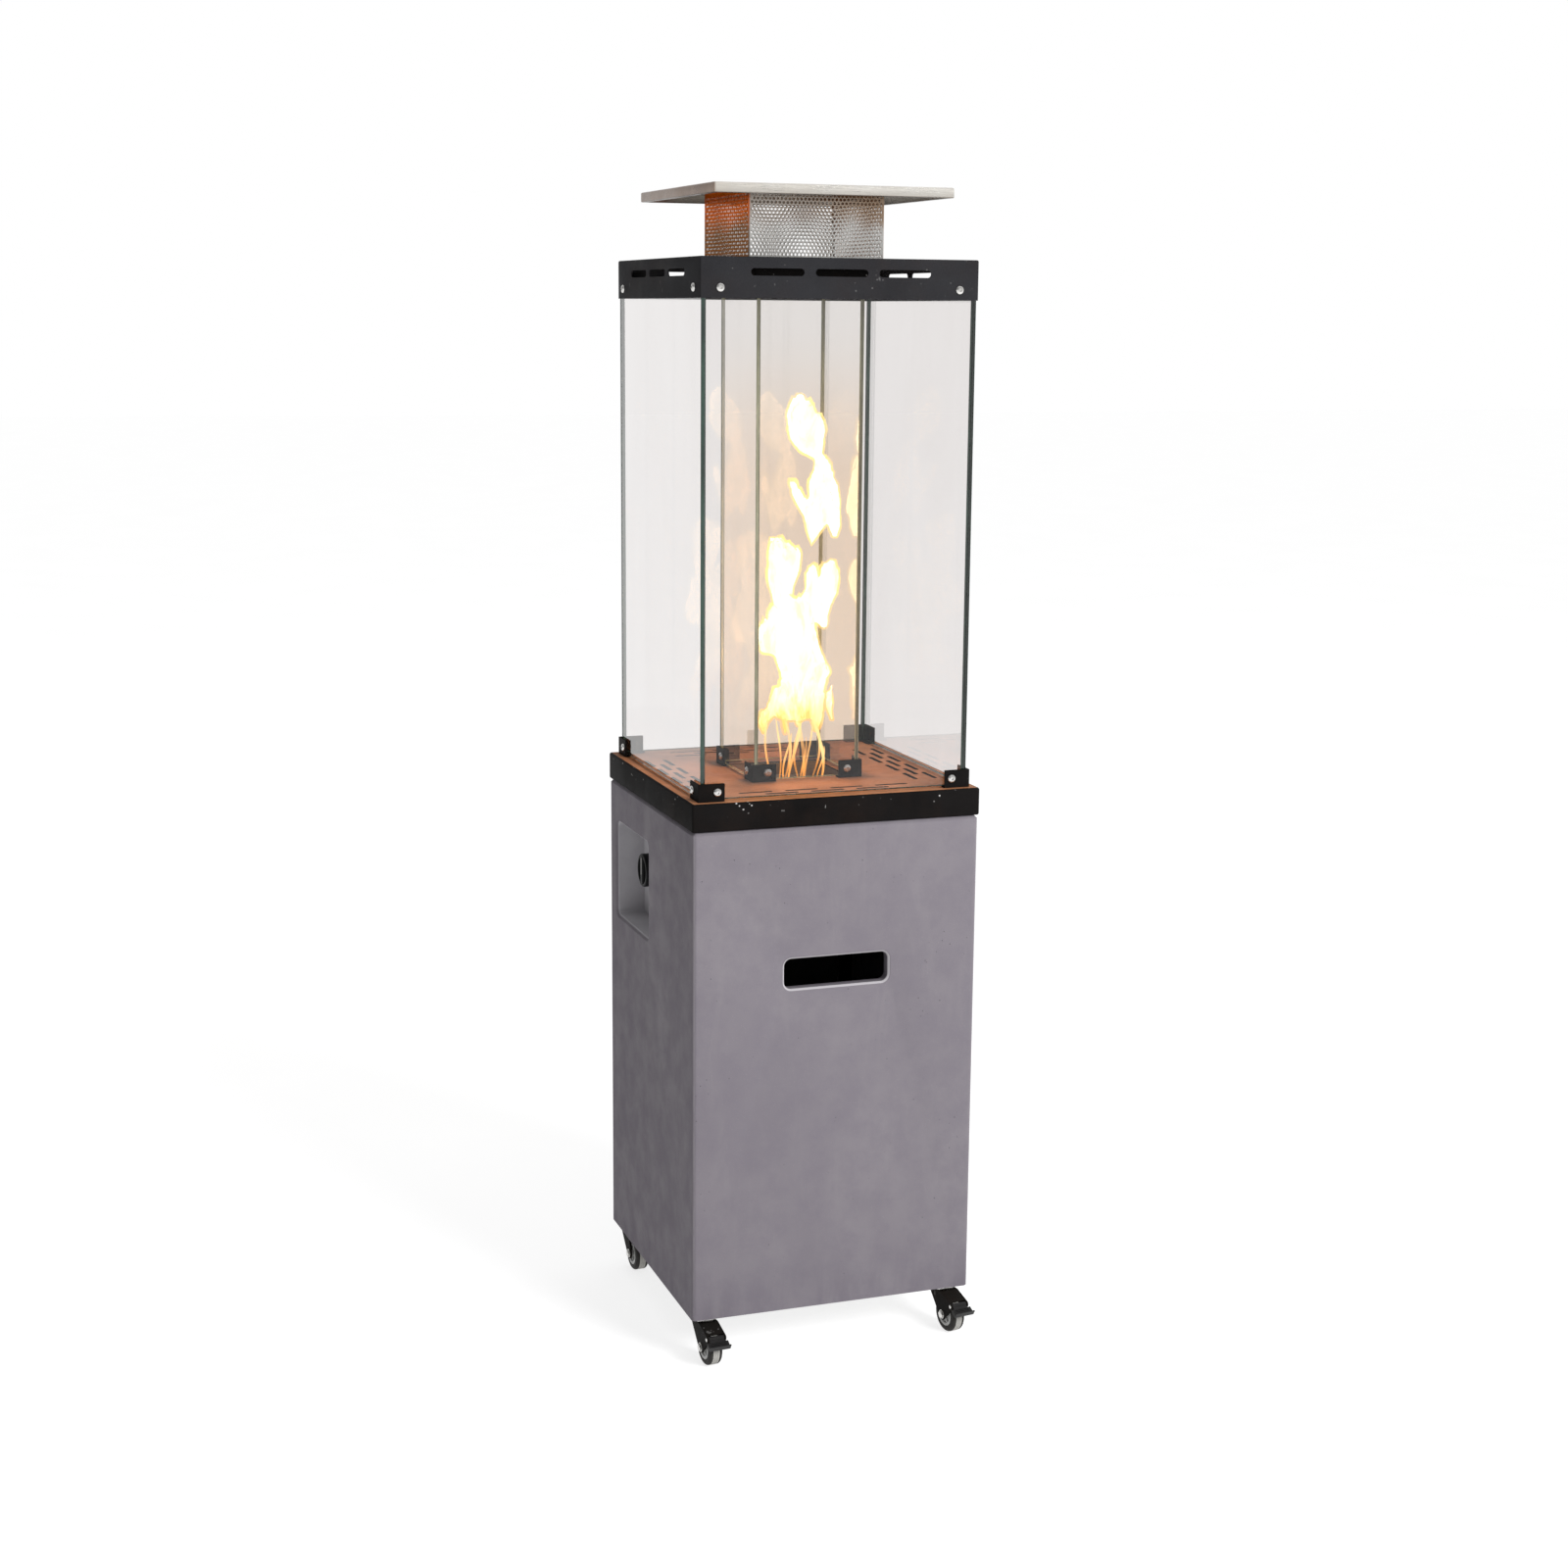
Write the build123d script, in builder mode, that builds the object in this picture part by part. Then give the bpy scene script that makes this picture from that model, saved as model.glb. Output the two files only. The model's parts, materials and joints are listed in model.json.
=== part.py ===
from build123d import *
import os
from math import cos, hypot, radians, sin

# A square glass-tower gas heater on casters. Millimetres, floor at z = 0, front towards -Y.

# Overall sides and heights
base_side = 400.0
base_height = 668.0
pan_overhang = 1.0
pan_height = 37.0
glass_gap = 638.0
frame_side = 376.0
frame_height = 51.0
guard_side = 187.0
guard_height = 78.0
cap_side = 325.0
cap_height = 13.0

# Walls, sheets and glass
base_wall = 16.0
floor_sheet = 2.0
pan_sheet = 2.0
frame_sheet = 1.5
guard_sheet = 1.2
cap_sheet = 1.2
bracket_sheet = 2.5
burner_sheet = 1.5
door_sheet = 1.5
hinge_sheet = 1.5
valve_plate = 2.0
outer_glass_thickness = 5.0
inner_glass_thickness = 4.0
inner_glass_side = 150.0

# Clearances and fits
running_clearance = 0.05
seat_clearance = 0.3
floor_clearance = 0.5
glass_clearance = 0.5
bracket_pad = 1.5
hole_clearance = 0.3

# Cast base: edges, hand slot, control pocket
base_edge_radius = 6.0
base_top_chamfer = 5.0
hand_slot_width = 147.0
hand_slot_height = 41.0
hand_slot_radius = 10.0
hand_slot_rim = 3.0
hand_slot_drop = 199.0
pocket_width = 160.0
pocket_height = 136.0
pocket_depth = 41.0
pocket_wall = 8.0
pocket_radius = 8.0
pocket_rim = 4.0
pocket_offset = 87.0
pocket_drop = 125.0

# Rear door and its hinges
door_opening_width = 320.0
door_opening_height = 500.0
door_sill = 32.0
door_gap = 2.0
door_recess = 1.0
door_flange = 12.0
door_slot_length = 90.0
door_slot_width = 24.0
door_slot_inset = 48.0
hinge_barrel_radius = 3.0
hinge_barrel_sides = 12
hinge_pin_radius = 1.5
hinge_jamb_offset = 4.0
hinge_door_offset = 1.5
hinge_height = 50.0
hinge_knuckle_gap = 0.3
hinge_leaf_depth = 11.0
hinge_door_leaf = 24.0
hinge_notch = 3.0
hinge_end_distance = 80.0
catch_height = 40.0
catch_depth = 6.0
catch_width = 30.0
catch_reach = 12.0

# Floor tray and the lugs round the gas cylinder's foot
floor_flange = 20.0
floor_corner_relief = 48.0
cylinder_foot_diameter = 216.0
lug_width = 36.0
lug_foot = 22.0
lug_height = 18.0
lug_sheet = 2.0

# Pan, vents and burner opening
pan_foot = 26.0
vent_length = 47.0
vent_width = 5.0
vent_pitch = 64.0
vent_row_pitch = 14.0
vent_glass_inset = 15.0
burner_opening_margin = 7.0

# Corner brackets round the foot of the glass
bracket_height = 24.0
bracket_foot = 12.0
outer_bracket_leg = 36.0
inner_bracket_leg = 34.0

# Top frame
frame_slot_length = 71.0
frame_slot_width = 9.3
frame_slot_corner = 3.0
frame_slot_pitch = 86.0
frame_slot_drop = 18.6
frame_glass_cover = 25.0
gusset_leg = 42.0
flue_margin = 2.0
clip_height = 24.0
clip_sheet = 1.5
clip_clearance = 1.0

# Flue guard perforation and cap
guard_flange = 12.0
guard_columns = 4
guard_rows = 2
guard_pitch = 38.0
guard_hole = 19.0
cap_hem = 7.0

# Burner group
burner_depth = 36.0
burner_flange = 10.0
burner_side = 84.0
burner_height = 22.0
burner_port = 6.0
burner_port_pitch = 22.0
burner_port_rows = 3
burner_inlet_radius = 7.0
burner_inlet_drop = 7.0
pilot_radius = 3.5
pilot_height = 26.0
pilot_distance = 52.0
pilot_spacing = 14.0
thermocouple_radius = 1.8
electrode_radius = 2.5
electrode_insulator = 19.0
electrode_tip = 0.8

# Gas valve, stem and control knob
control_rise = 12.0
valve_plate_width = 68.0
valve_plate_height = 84.0
valve_width = 34.0
valve_depth = 44.0
valve_height = 56.0
valve_nose_radius = 9.0
valve_front_wall = 12.0
valve_chamber_side = 16.0
valve_chamber_depth = 20.0
valve_fitting_radius = 10.0
valve_fitting_height = 6.0
inlet_radius = 7.9
inlet_length = 14.0
plunger_length = 10.0
plunger_bore_depth = 7.0
stem_radius = 4.0
knob_radius = 23.5
knob_skirt = 6.0
knob_height = 20.0
knob_grip_length = 41.0
knob_grip_width = 13.0
knob_grip_chamfer = 2.5
knob_bore_depth = 13.0
knob_gap = 8.0
manifold_radius = 5.0
manifold_sides = 10
manifold_elbow = 18.0
manifold_drop = 45.0

# Tilt switch on the inner front wall
switch_width = 36.0
switch_depth = 18.0
switch_height = 44.0
switch_level = 150.0
switch_offset = 120.0
switch_chamfer = 3.0

# Casters: swivel stem, fork, wheel, axle and brake pedal
caster_inset = 25.0
caster_trail = 19.0
front_left_turn = 4.0
front_right_turn = 8.0
rear_left_turn = 3.0
rear_right_turn = 11.0
wheel_radius = 25.0
tyre_width = 19.0
hub_radius = 17.0
hub_width = 21.0
hub_rim_sides = 16
axle_radius = 3.0
axle_head_radius = 5.5
axle_head_height = 3.5
fork_gap = 22.0
fork_sheet = 2.5
fork_boss_radius = 8.0
fork_boss_sides = 12
fork_crown = 4.0
fork_crown_length = 34.0
fork_wheel_clearance = 2.5
cup_radius = 17.0
cup_height = 8.2
cup_sides = 16
stem_shank_radius = 4.0
stem_shank_length = 12.0
kingpin_radius = 5.0
kingpin_head_radius = 8.0
kingpin_head_height = 2.0
pedal_pivot_angle = 40.8
pedal_tyre_gap = 0.6
pedal_boss_radius = 4.5
pedal_pin_radius = 2.0
pedal_hub_radius = 3.5
pedal_hub_sides = 10
pedal_reach = 17.0
pedal_slope = 30.0
pedal_sheet = 3.0
pedal_width = 30.0
pedal_lip = 5.0
pedal_tread_gap = 2.0

# Levels that follow from the wheels and the heights
axle_level = wheel_radius
fork_crown_bottom = 2 * wheel_radius + fork_wheel_clearance
fork_crown_top = fork_crown_bottom + fork_crown
cup_bottom = fork_crown_top + seat_clearance
base_bottom = cup_bottom + cup_height
base_top = base_bottom + base_height
pan_top = base_top + pan_height
frame_bottom = pan_top + glass_gap
frame_top = frame_bottom + frame_height
cap_bottom = frame_top + guard_height
cap_top = cap_bottom + cap_height
guard_top = cap_top - cap_sheet
deck_bottom = frame_top - frame_sheet
glass_bottom = pan_top + bracket_sheet
outer_glass_top = frame_bottom + frame_glass_cover
inner_glass_top = deck_bottom - clip_clearance
pan_underside = pan_top - pan_sheet

# Half sides that follow from the sides and clearances
base_half = base_side / 2
base_inner = base_side - 2 * base_wall
floor_side = base_inner - 2 * floor_clearance
pan_side = base_side + 2 * pan_overhang
outer_glass_half = frame_side / 2 - frame_sheet - glass_clearance
inner_glass_half = inner_glass_side / 2
burner_opening = inner_glass_side - 2 * (inner_glass_thickness + burner_opening_margin)
flue_opening = inner_glass_side - 2 * (inner_glass_thickness + flue_margin)
pocket_face = -base_half + pocket_depth
pocket_inner = pocket_face + pocket_wall
pocket_centre = base_top - pocket_drop
control_level = pocket_centre + control_rise
valve_face = pocket_inner + valve_plate
swivel_offset = base_half - caster_inset

os.makedirs("parts", exist_ok=True)


def save(piece, name):
    piece.part.label = name
    export_step(piece.part, f"parts/{name}.step")


def level(z, turn=0.0):
    """A horizontal plane at height z, turned about the vertical axis."""
    return Plane(origin=(0, 0, z), x_dir=(cos(radians(turn)), sin(radians(turn)), 0), z_dir=(0, 0, 1))


def upright(turn, distance, height):
    """A wall plane: turn 0 faces the front (-Y), 90 the right (+X), 180 the back, 270 the left.
    Its x runs to the right and its y up as seen from outside."""
    angle = radians(turn)
    normal = (sin(angle), -cos(angle), 0)
    origin = (distance * normal[0], distance * normal[1], height)
    return Plane(origin=origin, x_dir=(cos(angle), sin(angle), 0), z_dir=normal)


# Cast base shell: square tube with a front hand slot, a moulded control pocket in
# the left wall and an opening for the gas cylinder in the back wall
with BuildPart() as base_shell:
    with BuildSketch(level(base_bottom)):
        RectangleRounded(base_side, base_side, base_edge_radius)
    extrude(amount=base_height)
    chamfer(base_shell.faces().sort_by(Axis.Z)[-1].edges(), base_top_chamfer)
    with BuildSketch(level(base_bottom)):
        Rectangle(base_inner, base_inner)
    extrude(amount=base_height, mode=Mode.SUBTRACT)
    with BuildSketch(upright(270, base_half - base_wall, pocket_centre)):
        with Locations((-pocket_offset, 0)):
            Rectangle(pocket_width + 2 * pocket_wall, pocket_height + 2 * pocket_wall)
    extrude(amount=-(pocket_depth + pocket_wall - base_wall))
    with BuildSketch(upright(270, base_half, pocket_centre)):
        with Locations((-pocket_offset, 0)):
            RectangleRounded(pocket_width, pocket_height, pocket_radius)
    extrude(amount=-pocket_depth, mode=Mode.SUBTRACT)
    with BuildSketch(upright(0, base_half, base_top - hand_slot_drop)):
        RectangleRounded(hand_slot_width, hand_slot_height, hand_slot_radius)
    extrude(amount=-base_wall, mode=Mode.SUBTRACT)
    left_face = base_shell.faces().filter_by(Axis.X).sort_by(Axis.X)[0]
    chamfer(left_face.inner_wires().edges(), pocket_rim)
    front_face = base_shell.faces().filter_by(Axis.Y).sort_by(Axis.Y)[0]
    chamfer(front_face.inner_wires().edges(), hand_slot_rim)
    with BuildSketch(upright(180, base_half, base_bottom + door_sill)):
        Rectangle(door_opening_width, door_opening_height, align=(Align.CENTER, Align.MIN))
    extrude(amount=-base_wall, mode=Mode.SUBTRACT)
    with BuildSketch(upright(270, -pocket_face, control_level)):
        with Locations((-pocket_offset, 0)):
            RegularPolygon(valve_nose_radius + hole_clearance, 6)
    extrude(amount=-pocket_wall, mode=Mode.SUBTRACT)
save(base_shell, "base_shell")

# Floor tray with turned-up flanges and relieved corners, drilled for the caster stems
with BuildPart() as base_floor:
    with BuildSketch(level(base_bottom)):
        Rectangle(floor_side, floor_side)
        with GridLocations(2 * swivel_offset, 2 * swivel_offset, 2, 2):
            RegularPolygon(stem_shank_radius + hole_clearance, 6, mode=Mode.SUBTRACT)
    extrude(amount=floor_sheet)
    with BuildSketch(level(base_bottom)):
        with PolarLocations(0, 4):
            with Locations((floor_side / 2, 0)):
                flange_length = floor_side - 2 * floor_corner_relief
                Rectangle(floor_sheet, flange_length, align=(Align.MAX, Align.CENTER))
    extrude(amount=floor_flange)
save(base_floor, "base_floor")

# Angle lugs on the floor that keep the gas cylinder's foot in place
with BuildPart() as cylinder_lugs:
    with BuildSketch(level(base_bottom + floor_sheet)):
        with PolarLocations(0, 4):
            with Locations((cylinder_foot_diameter / 2, 0)):
                Rectangle(lug_foot, lug_width, align=(Align.MIN, Align.CENTER))
    extrude(amount=lug_sheet)
    with BuildSketch(level(base_bottom + floor_sheet)):
        with PolarLocations(0, 4):
            with Locations((cylinder_foot_diameter / 2, 0)):
                Rectangle(lug_sheet, lug_width, align=(Align.MIN, Align.CENTER))
    extrude(amount=lug_height)
save(cylinder_lugs, "cylinder_lugs")

# Burner pan: plate with vents, skirt and a turned-in foot that lies on the base's rim
with BuildPart() as top_pan:
    with BuildSketch(level(base_top)):
        Rectangle(pan_side, pan_side)
    extrude(amount=pan_height)
    with BuildSketch(level(base_top + pan_sheet)):
        Rectangle(pan_side - 2 * pan_sheet, pan_side - 2 * pan_sheet)
    extrude(amount=pan_height - 2 * pan_sheet, mode=Mode.SUBTRACT)
    with BuildSketch(level(base_top)):
        Rectangle(pan_side - 2 * pan_foot, pan_side - 2 * pan_foot)
    extrude(amount=pan_sheet, mode=Mode.SUBTRACT)
    with BuildSketch(level(pan_underside)):
        Rectangle(burner_opening, burner_opening)
        vent_row = outer_glass_half - vent_glass_inset
        with PolarLocations(0, 4):
            with Locations((vent_row - vent_row_pitch, 0)):
                with GridLocations(2 * vent_row_pitch, vent_pitch, 2, 4):
                    Rectangle(vent_width, vent_length)
                with GridLocations(1, vent_pitch, 1, 3):
                    Rectangle(vent_width, vent_length)
    extrude(amount=pan_sheet, mode=Mode.SUBTRACT)
save(top_pan, "top_pan")


def corner_brackets(corner, leg):
    """Four bent corner brackets: two upright walls on an angled foot that carries the glass."""
    with BuildPart() as brackets:
        with BuildSketch(level(pan_top)):
            with PolarLocations(0, 4):
                with Locations((corner, corner)):
                    Rectangle(leg, bracket_foot, align=Align.MAX)
                    Rectangle(bracket_foot, leg, align=Align.MAX)
        extrude(amount=bracket_sheet)
        with BuildSketch(level(pan_top)):
            with PolarLocations(0, 4):
                with Locations((corner, corner)):
                    Rectangle(leg, bracket_sheet, align=Align.MAX)
                    Rectangle(bracket_sheet, leg, align=Align.MAX)
        extrude(amount=bracket_height)
    return brackets


outer_brackets = corner_brackets(outer_glass_half + bracket_pad + bracket_sheet, outer_bracket_leg)
save(outer_brackets, "outer_brackets")
inner_brackets = corner_brackets(inner_glass_half + bracket_pad + bracket_sheet, inner_bracket_leg)
save(inner_brackets, "inner_brackets")


def glass_pane(turn, half, thickness, top):
    """One pane of a pinwheel of four: it starts behind its left neighbour and covers its right one."""
    start = -half + thickness + glass_clearance
    with BuildPart() as pane:
        with BuildSketch(level(glass_bottom, turn)):
            with Locations((start, -half)):
                Rectangle(half - start, thickness, align=Align.MIN)
        extrude(amount=top - glass_bottom)
    return pane


for turn, side in ((0, "front"), (90, "right"), (180, "back"), (270, "left")):
    outer_pane = glass_pane(turn, outer_glass_half, outer_glass_thickness, outer_glass_top)
    save(outer_pane, f"outer_glass_{side}")
    inner_pane = glass_pane(turn, inner_glass_half, inner_glass_thickness, inner_glass_top)
    save(inner_pane, f"inner_glass_{side}")

# Top frame: deck with a flue opening, slotted skirt, and corner gussets that rest on the glass
with BuildPart() as top_frame:
    with BuildSketch(level(frame_bottom)):
        Rectangle(frame_side, frame_side)
    extrude(amount=frame_height)
    frame_inner = frame_side - 2 * frame_sheet
    with BuildSketch(level(frame_bottom)):
        Rectangle(frame_inner, frame_inner)
    extrude(amount=frame_height - frame_sheet, mode=Mode.SUBTRACT)
    with BuildSketch(level(outer_glass_top)):
        with PolarLocations(0, 4):
            with BuildLine():
                corner = frame_inner / 2
                inset = corner - gusset_leg
                Polyline((corner, corner), (inset, corner), (corner, inset), close=True)
            make_face()
    extrude(amount=frame_sheet)
    with BuildSketch(level(deck_bottom)):
        Rectangle(flue_opening, flue_opening)
    extrude(amount=frame_sheet, mode=Mode.SUBTRACT)
    for turn in range(0, 360, 90):
        with BuildSketch(upright(turn, frame_side / 2, frame_top - frame_slot_drop)) as frame_slots:
            with GridLocations(frame_slot_pitch, 1, 3, 1):
                Rectangle(frame_slot_length, frame_slot_width)
            chamfer(frame_slots.vertices(), frame_slot_corner)
        extrude(amount=-frame_sheet, mode=Mode.SUBTRACT)
save(top_frame, "top_frame")

# Clips joined into a collar under the deck, which keeps the inner glass square
with BuildPart() as inner_glass_clips:
    collar_inner = inner_glass_side + 2 * clip_clearance
    collar_outer = collar_inner + 2 * clip_sheet
    with BuildSketch(level(deck_bottom - clip_height)):
        Rectangle(collar_outer, collar_outer)
        Rectangle(collar_inner, collar_inner, mode=Mode.SUBTRACT)
    extrude(amount=clip_height)
save(inner_glass_clips, "inner_glass_clips")

# Perforated flue guard with turned-in flanges under the cap and on the deck
with BuildPart() as flue_guard:
    with BuildSketch(level(frame_top)):
        Rectangle(guard_side, guard_side)
    extrude(amount=guard_top - frame_top)
    guard_inner = guard_side - 2 * guard_sheet
    with BuildSketch(level(frame_top + guard_sheet)):
        Rectangle(guard_inner, guard_inner)
    extrude(amount=guard_top - frame_top - 2 * guard_sheet, mode=Mode.SUBTRACT)
    with BuildSketch(level(frame_top)):
        Rectangle(guard_side - 2 * guard_flange, guard_side - 2 * guard_flange)
    extrude(amount=guard_top - frame_top, mode=Mode.SUBTRACT)
    for turn in range(0, 360, 90):
        with BuildSketch(upright(turn, guard_side / 2, frame_top + guard_height / 2)):
            with GridLocations(guard_pitch, guard_pitch, guard_columns, guard_rows):
                Rectangle(guard_hole, guard_hole, rotation=45)
            with GridLocations(guard_pitch, guard_pitch, guard_columns - 1, guard_rows - 1):
                Rectangle(guard_hole, guard_hole, rotation=45)
        extrude(amount=-guard_sheet, mode=Mode.SUBTRACT)
save(flue_guard, "flue_guard")

# Cap: flat tray turned upside down, with a hem inside its lower edge
with BuildPart() as cap:
    with BuildSketch(level(cap_bottom)):
        Rectangle(cap_side, cap_side)
    extrude(amount=cap_height)
    with BuildSketch(level(cap_bottom + cap_sheet)):
        Rectangle(cap_side - 2 * cap_sheet, cap_side - 2 * cap_sheet)
    extrude(amount=cap_height - 2 * cap_sheet, mode=Mode.SUBTRACT)
    with BuildSketch(level(cap_bottom)):
        Rectangle(cap_side - 2 * cap_hem, cap_side - 2 * cap_hem)
    extrude(amount=cap_sheet, mode=Mode.SUBTRACT)
save(cap, "cap")

# Burner tray hung under the pan's opening, drilled for the burner's inlet and the pilot group
tray_floor = pan_underside - burner_depth
tray_side = burner_opening
with BuildPart() as burner_tray:
    with BuildSketch(level(tray_floor)):
        Rectangle(tray_side + 2 * burner_sheet, tray_side + 2 * burner_sheet)
    extrude(amount=burner_depth)
    with BuildSketch(level(pan_underside - burner_sheet)):
        Rectangle(tray_side + 2 * burner_flange, tray_side + 2 * burner_flange)
    extrude(amount=burner_sheet)
    with BuildSketch(level(tray_floor + burner_sheet)):
        Rectangle(tray_side, tray_side)
    extrude(amount=burner_depth, mode=Mode.SUBTRACT)
    with BuildSketch(level(tray_floor)):
        RegularPolygon(burner_inlet_radius + hole_clearance, 6)
    extrude(amount=burner_sheet, mode=Mode.SUBTRACT)
save(burner_tray, "burner_tray")

# Box burner with rows of ports and a hexagonal inlet through the tray's floor
burner_seat = tray_floor + burner_sheet
with BuildPart() as burner:
    with BuildSketch(level(burner_seat)):
        Rectangle(burner_side, burner_side)
    extrude(amount=burner_height)
    with BuildSketch(level(burner_seat + burner_sheet)):
        Rectangle(burner_side - 2 * burner_sheet, burner_side - 2 * burner_sheet)
    extrude(amount=burner_height - 2 * burner_sheet, mode=Mode.SUBTRACT)
    with BuildSketch(level(burner_seat + burner_height - burner_sheet)):
        with GridLocations(burner_port_pitch, burner_port_pitch, burner_port_rows, burner_port_rows):
            Rectangle(burner_port, burner_port)
    extrude(amount=burner_sheet, mode=Mode.SUBTRACT)
    with BuildSketch(level(tray_floor - burner_inlet_drop)):
        RegularPolygon(burner_inlet_radius, 6)
    extrude(amount=burner_inlet_drop + burner_sheet)
save(burner, "burner")

# Pilot group beside the burner: hooded pilot tube, thermocouple and spark electrode
with BuildPart() as pilot_burner:
    with BuildSketch(level(burner_seat)):
        with Locations((-pilot_distance, 0)):
            RegularPolygon(pilot_radius, 6)
    extrude(amount=pilot_height)
    with BuildSketch(level(burner_seat + pilot_height)):
        with Locations((-pilot_distance, 0)):
            Rectangle(2 * pilot_radius, 2 * pilot_radius)
    extrude(amount=burner_sheet)
save(pilot_burner, "pilot_burner")

with BuildPart() as thermocouple:
    with BuildSketch(level(burner_seat)):
        with Locations((-pilot_distance, pilot_spacing)):
            RegularPolygon(thermocouple_radius, 6)
    extrude(amount=pilot_height)
save(thermocouple, "thermocouple")

with BuildPart() as spark_electrode:
    with BuildSketch(level(burner_seat)):
        with Locations((-pilot_distance, -pilot_spacing)):
            RegularPolygon(electrode_radius, 6)
    extrude(amount=electrode_insulator)
    with BuildSketch(level(burner_seat)):
        with Locations((-pilot_distance, -pilot_spacing)):
            RegularPolygon(electrode_tip, 6)
    extrude(amount=pilot_height)
save(spark_electrode, "spark_electrode")

# Plate behind the pocket's inner wall that carries the gas valve, with a square hole for its nose
valve_plate_hole = 2 * (valve_nose_radius + hole_clearance)
with BuildPart() as valve_bracket:
    with BuildSketch(upright(270, -pocket_inner, control_level)):
        with Locations((-pocket_offset, 0)):
            Rectangle(valve_plate_width, valve_plate_height)
            Rectangle(valve_plate_hole, valve_plate_hole, mode=Mode.SUBTRACT)
    extrude(amount=-valve_plate)
save(valve_bracket, "valve_bracket")

# Gas valve: block with a nose through the pocket wall, plunger chamber, hose inlet and outlet
valve_axis = upright(270, -valve_face, control_level)
nose_length = pocket_wall + valve_plate
valve_mid = valve_face + valve_depth / 2
with BuildPart() as gas_valve:
    with BuildSketch(valve_axis):
        with Locations((-pocket_offset, 0)):
            Rectangle(valve_width, valve_height)
    extrude(amount=-valve_depth)
    with BuildSketch(valve_axis):
        with Locations((-pocket_offset, 0)):
            RegularPolygon(valve_nose_radius, 6)
    extrude(amount=nose_length)
    with BuildSketch(level(control_level + valve_height / 2)):
        with Locations((valve_mid, pocket_offset)):
            RegularPolygon(valve_fitting_radius, 6)
    extrude(amount=valve_fitting_height)
    with BuildSketch(level(control_level - valve_height / 2)):
        with Locations((valve_mid, pocket_offset)):
            RegularPolygon(valve_fitting_radius, 6)
    extrude(amount=-valve_fitting_height)
    with BuildSketch(level(control_level - valve_height / 2 - valve_fitting_height)):
        with Locations((valve_mid, pocket_offset)):
            Circle(inlet_radius)
    extrude(amount=-inlet_length)
    with BuildSketch(valve_axis.offset(-valve_front_wall)):
        with Locations((-pocket_offset, 0)):
            Rectangle(valve_chamber_side, valve_chamber_side)
    extrude(amount=-valve_chamber_depth, mode=Mode.SUBTRACT)
    with BuildSketch(valve_axis.offset(nose_length)):
        with Locations((-pocket_offset, 0)):
            Circle(stem_radius + running_clearance)
    extrude(amount=-(nose_length + valve_front_wall), mode=Mode.SUBTRACT)
save(gas_valve, "gas_valve")

# Square plunger that slides in the valve's chamber without turning and carries the stem's tip
plunger_face = valve_face + valve_front_wall + seat_clearance
plunger_side = valve_chamber_side - 2 * seat_clearance
stem_axis = upright(270, -plunger_face, control_level)
with BuildPart() as valve_plunger:
    with BuildSketch(stem_axis):
        with Locations((-pocket_offset, 0)):
            Rectangle(plunger_side, plunger_side)
    extrude(amount=-plunger_length)
    with BuildSketch(stem_axis):
        with Locations((-pocket_offset, 0)):
            Circle(stem_radius + running_clearance)
    extrude(amount=-plunger_bore_depth, mode=Mode.SUBTRACT)
save(valve_plunger, "valve_plunger")

# Valve stem from the plunger's bore through the nose, with a hexagonal end that drives the knob
knob_back = pocket_face - knob_gap
knob_plane = upright(270, -knob_back, control_level)
stem_end = plunger_face + plunger_bore_depth - seat_clearance
with BuildPart() as valve_stem:
    with BuildSketch(knob_plane):
        with Locations((-pocket_offset, 0)):
            Circle(stem_radius)
    extrude(amount=knob_back - stem_end)
    with BuildSketch(knob_plane):
        with Locations((-pocket_offset, 0)):
            RegularPolygon(stem_radius, 6)
    extrude(amount=knob_bore_depth - seat_clearance)
save(valve_stem, "valve_stem")

# Control knob: round skirt with a raised bar grip, socketed for the stem's hexagonal end
with BuildPart() as control_knob:
    with BuildSketch(knob_plane):
        with Locations((-pocket_offset, 0)):
            Circle(knob_radius)
    extrude(amount=knob_skirt)
    with BuildSketch(knob_plane.offset(knob_skirt)):
        with Locations((-pocket_offset, 0)):
            Rectangle(knob_grip_width, knob_grip_length)
    extrude(amount=knob_height - knob_skirt)
    chamfer(control_knob.faces().sort_by(Axis.X)[0].edges(), knob_grip_chamfer)
    with BuildSketch(knob_plane):
        with Locations((-pocket_offset, 0)):
            RegularPolygon(stem_radius + running_clearance, 6)
    extrude(amount=knob_bore_depth, mode=Mode.SUBTRACT)
save(control_knob, "control_knob")

# Gas pipe from the valve's outlet to the burner's inlet, with an elbow fitting at each turn
outlet_level = control_level + valve_height / 2 + valve_fitting_height
inlet_level = tray_floor - burner_inlet_drop
run_level = inlet_level - manifold_drop
run_length = hypot(valve_mid, pocket_offset)
run_plane = Plane(
    origin=(valve_mid, pocket_offset, run_level),
    x_dir=(0, 0, 1),
    z_dir=(-valve_mid, -pocket_offset, 0),
)
with BuildPart() as gas_manifold:
    with BuildSketch(run_plane):
        RegularPolygon(manifold_radius, manifold_sides)
    extrude(amount=run_length)
    with BuildSketch(level(outlet_level)):
        with Locations((valve_mid, pocket_offset)):
            RegularPolygon(manifold_radius, manifold_sides)
    extrude(amount=run_level - outlet_level)
    with BuildSketch(level(run_level)):
        RegularPolygon(manifold_radius, manifold_sides)
    extrude(amount=manifold_drop)
    for elbow_place in ((valve_mid, pocket_offset), (0, 0)):
        with BuildSketch(level(run_level - manifold_elbow / 2)):
            with Locations(elbow_place):
                RegularPolygon(manifold_elbow / 2, 6)
        extrude(amount=manifold_elbow)
save(gas_manifold, "gas_manifold")

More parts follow.
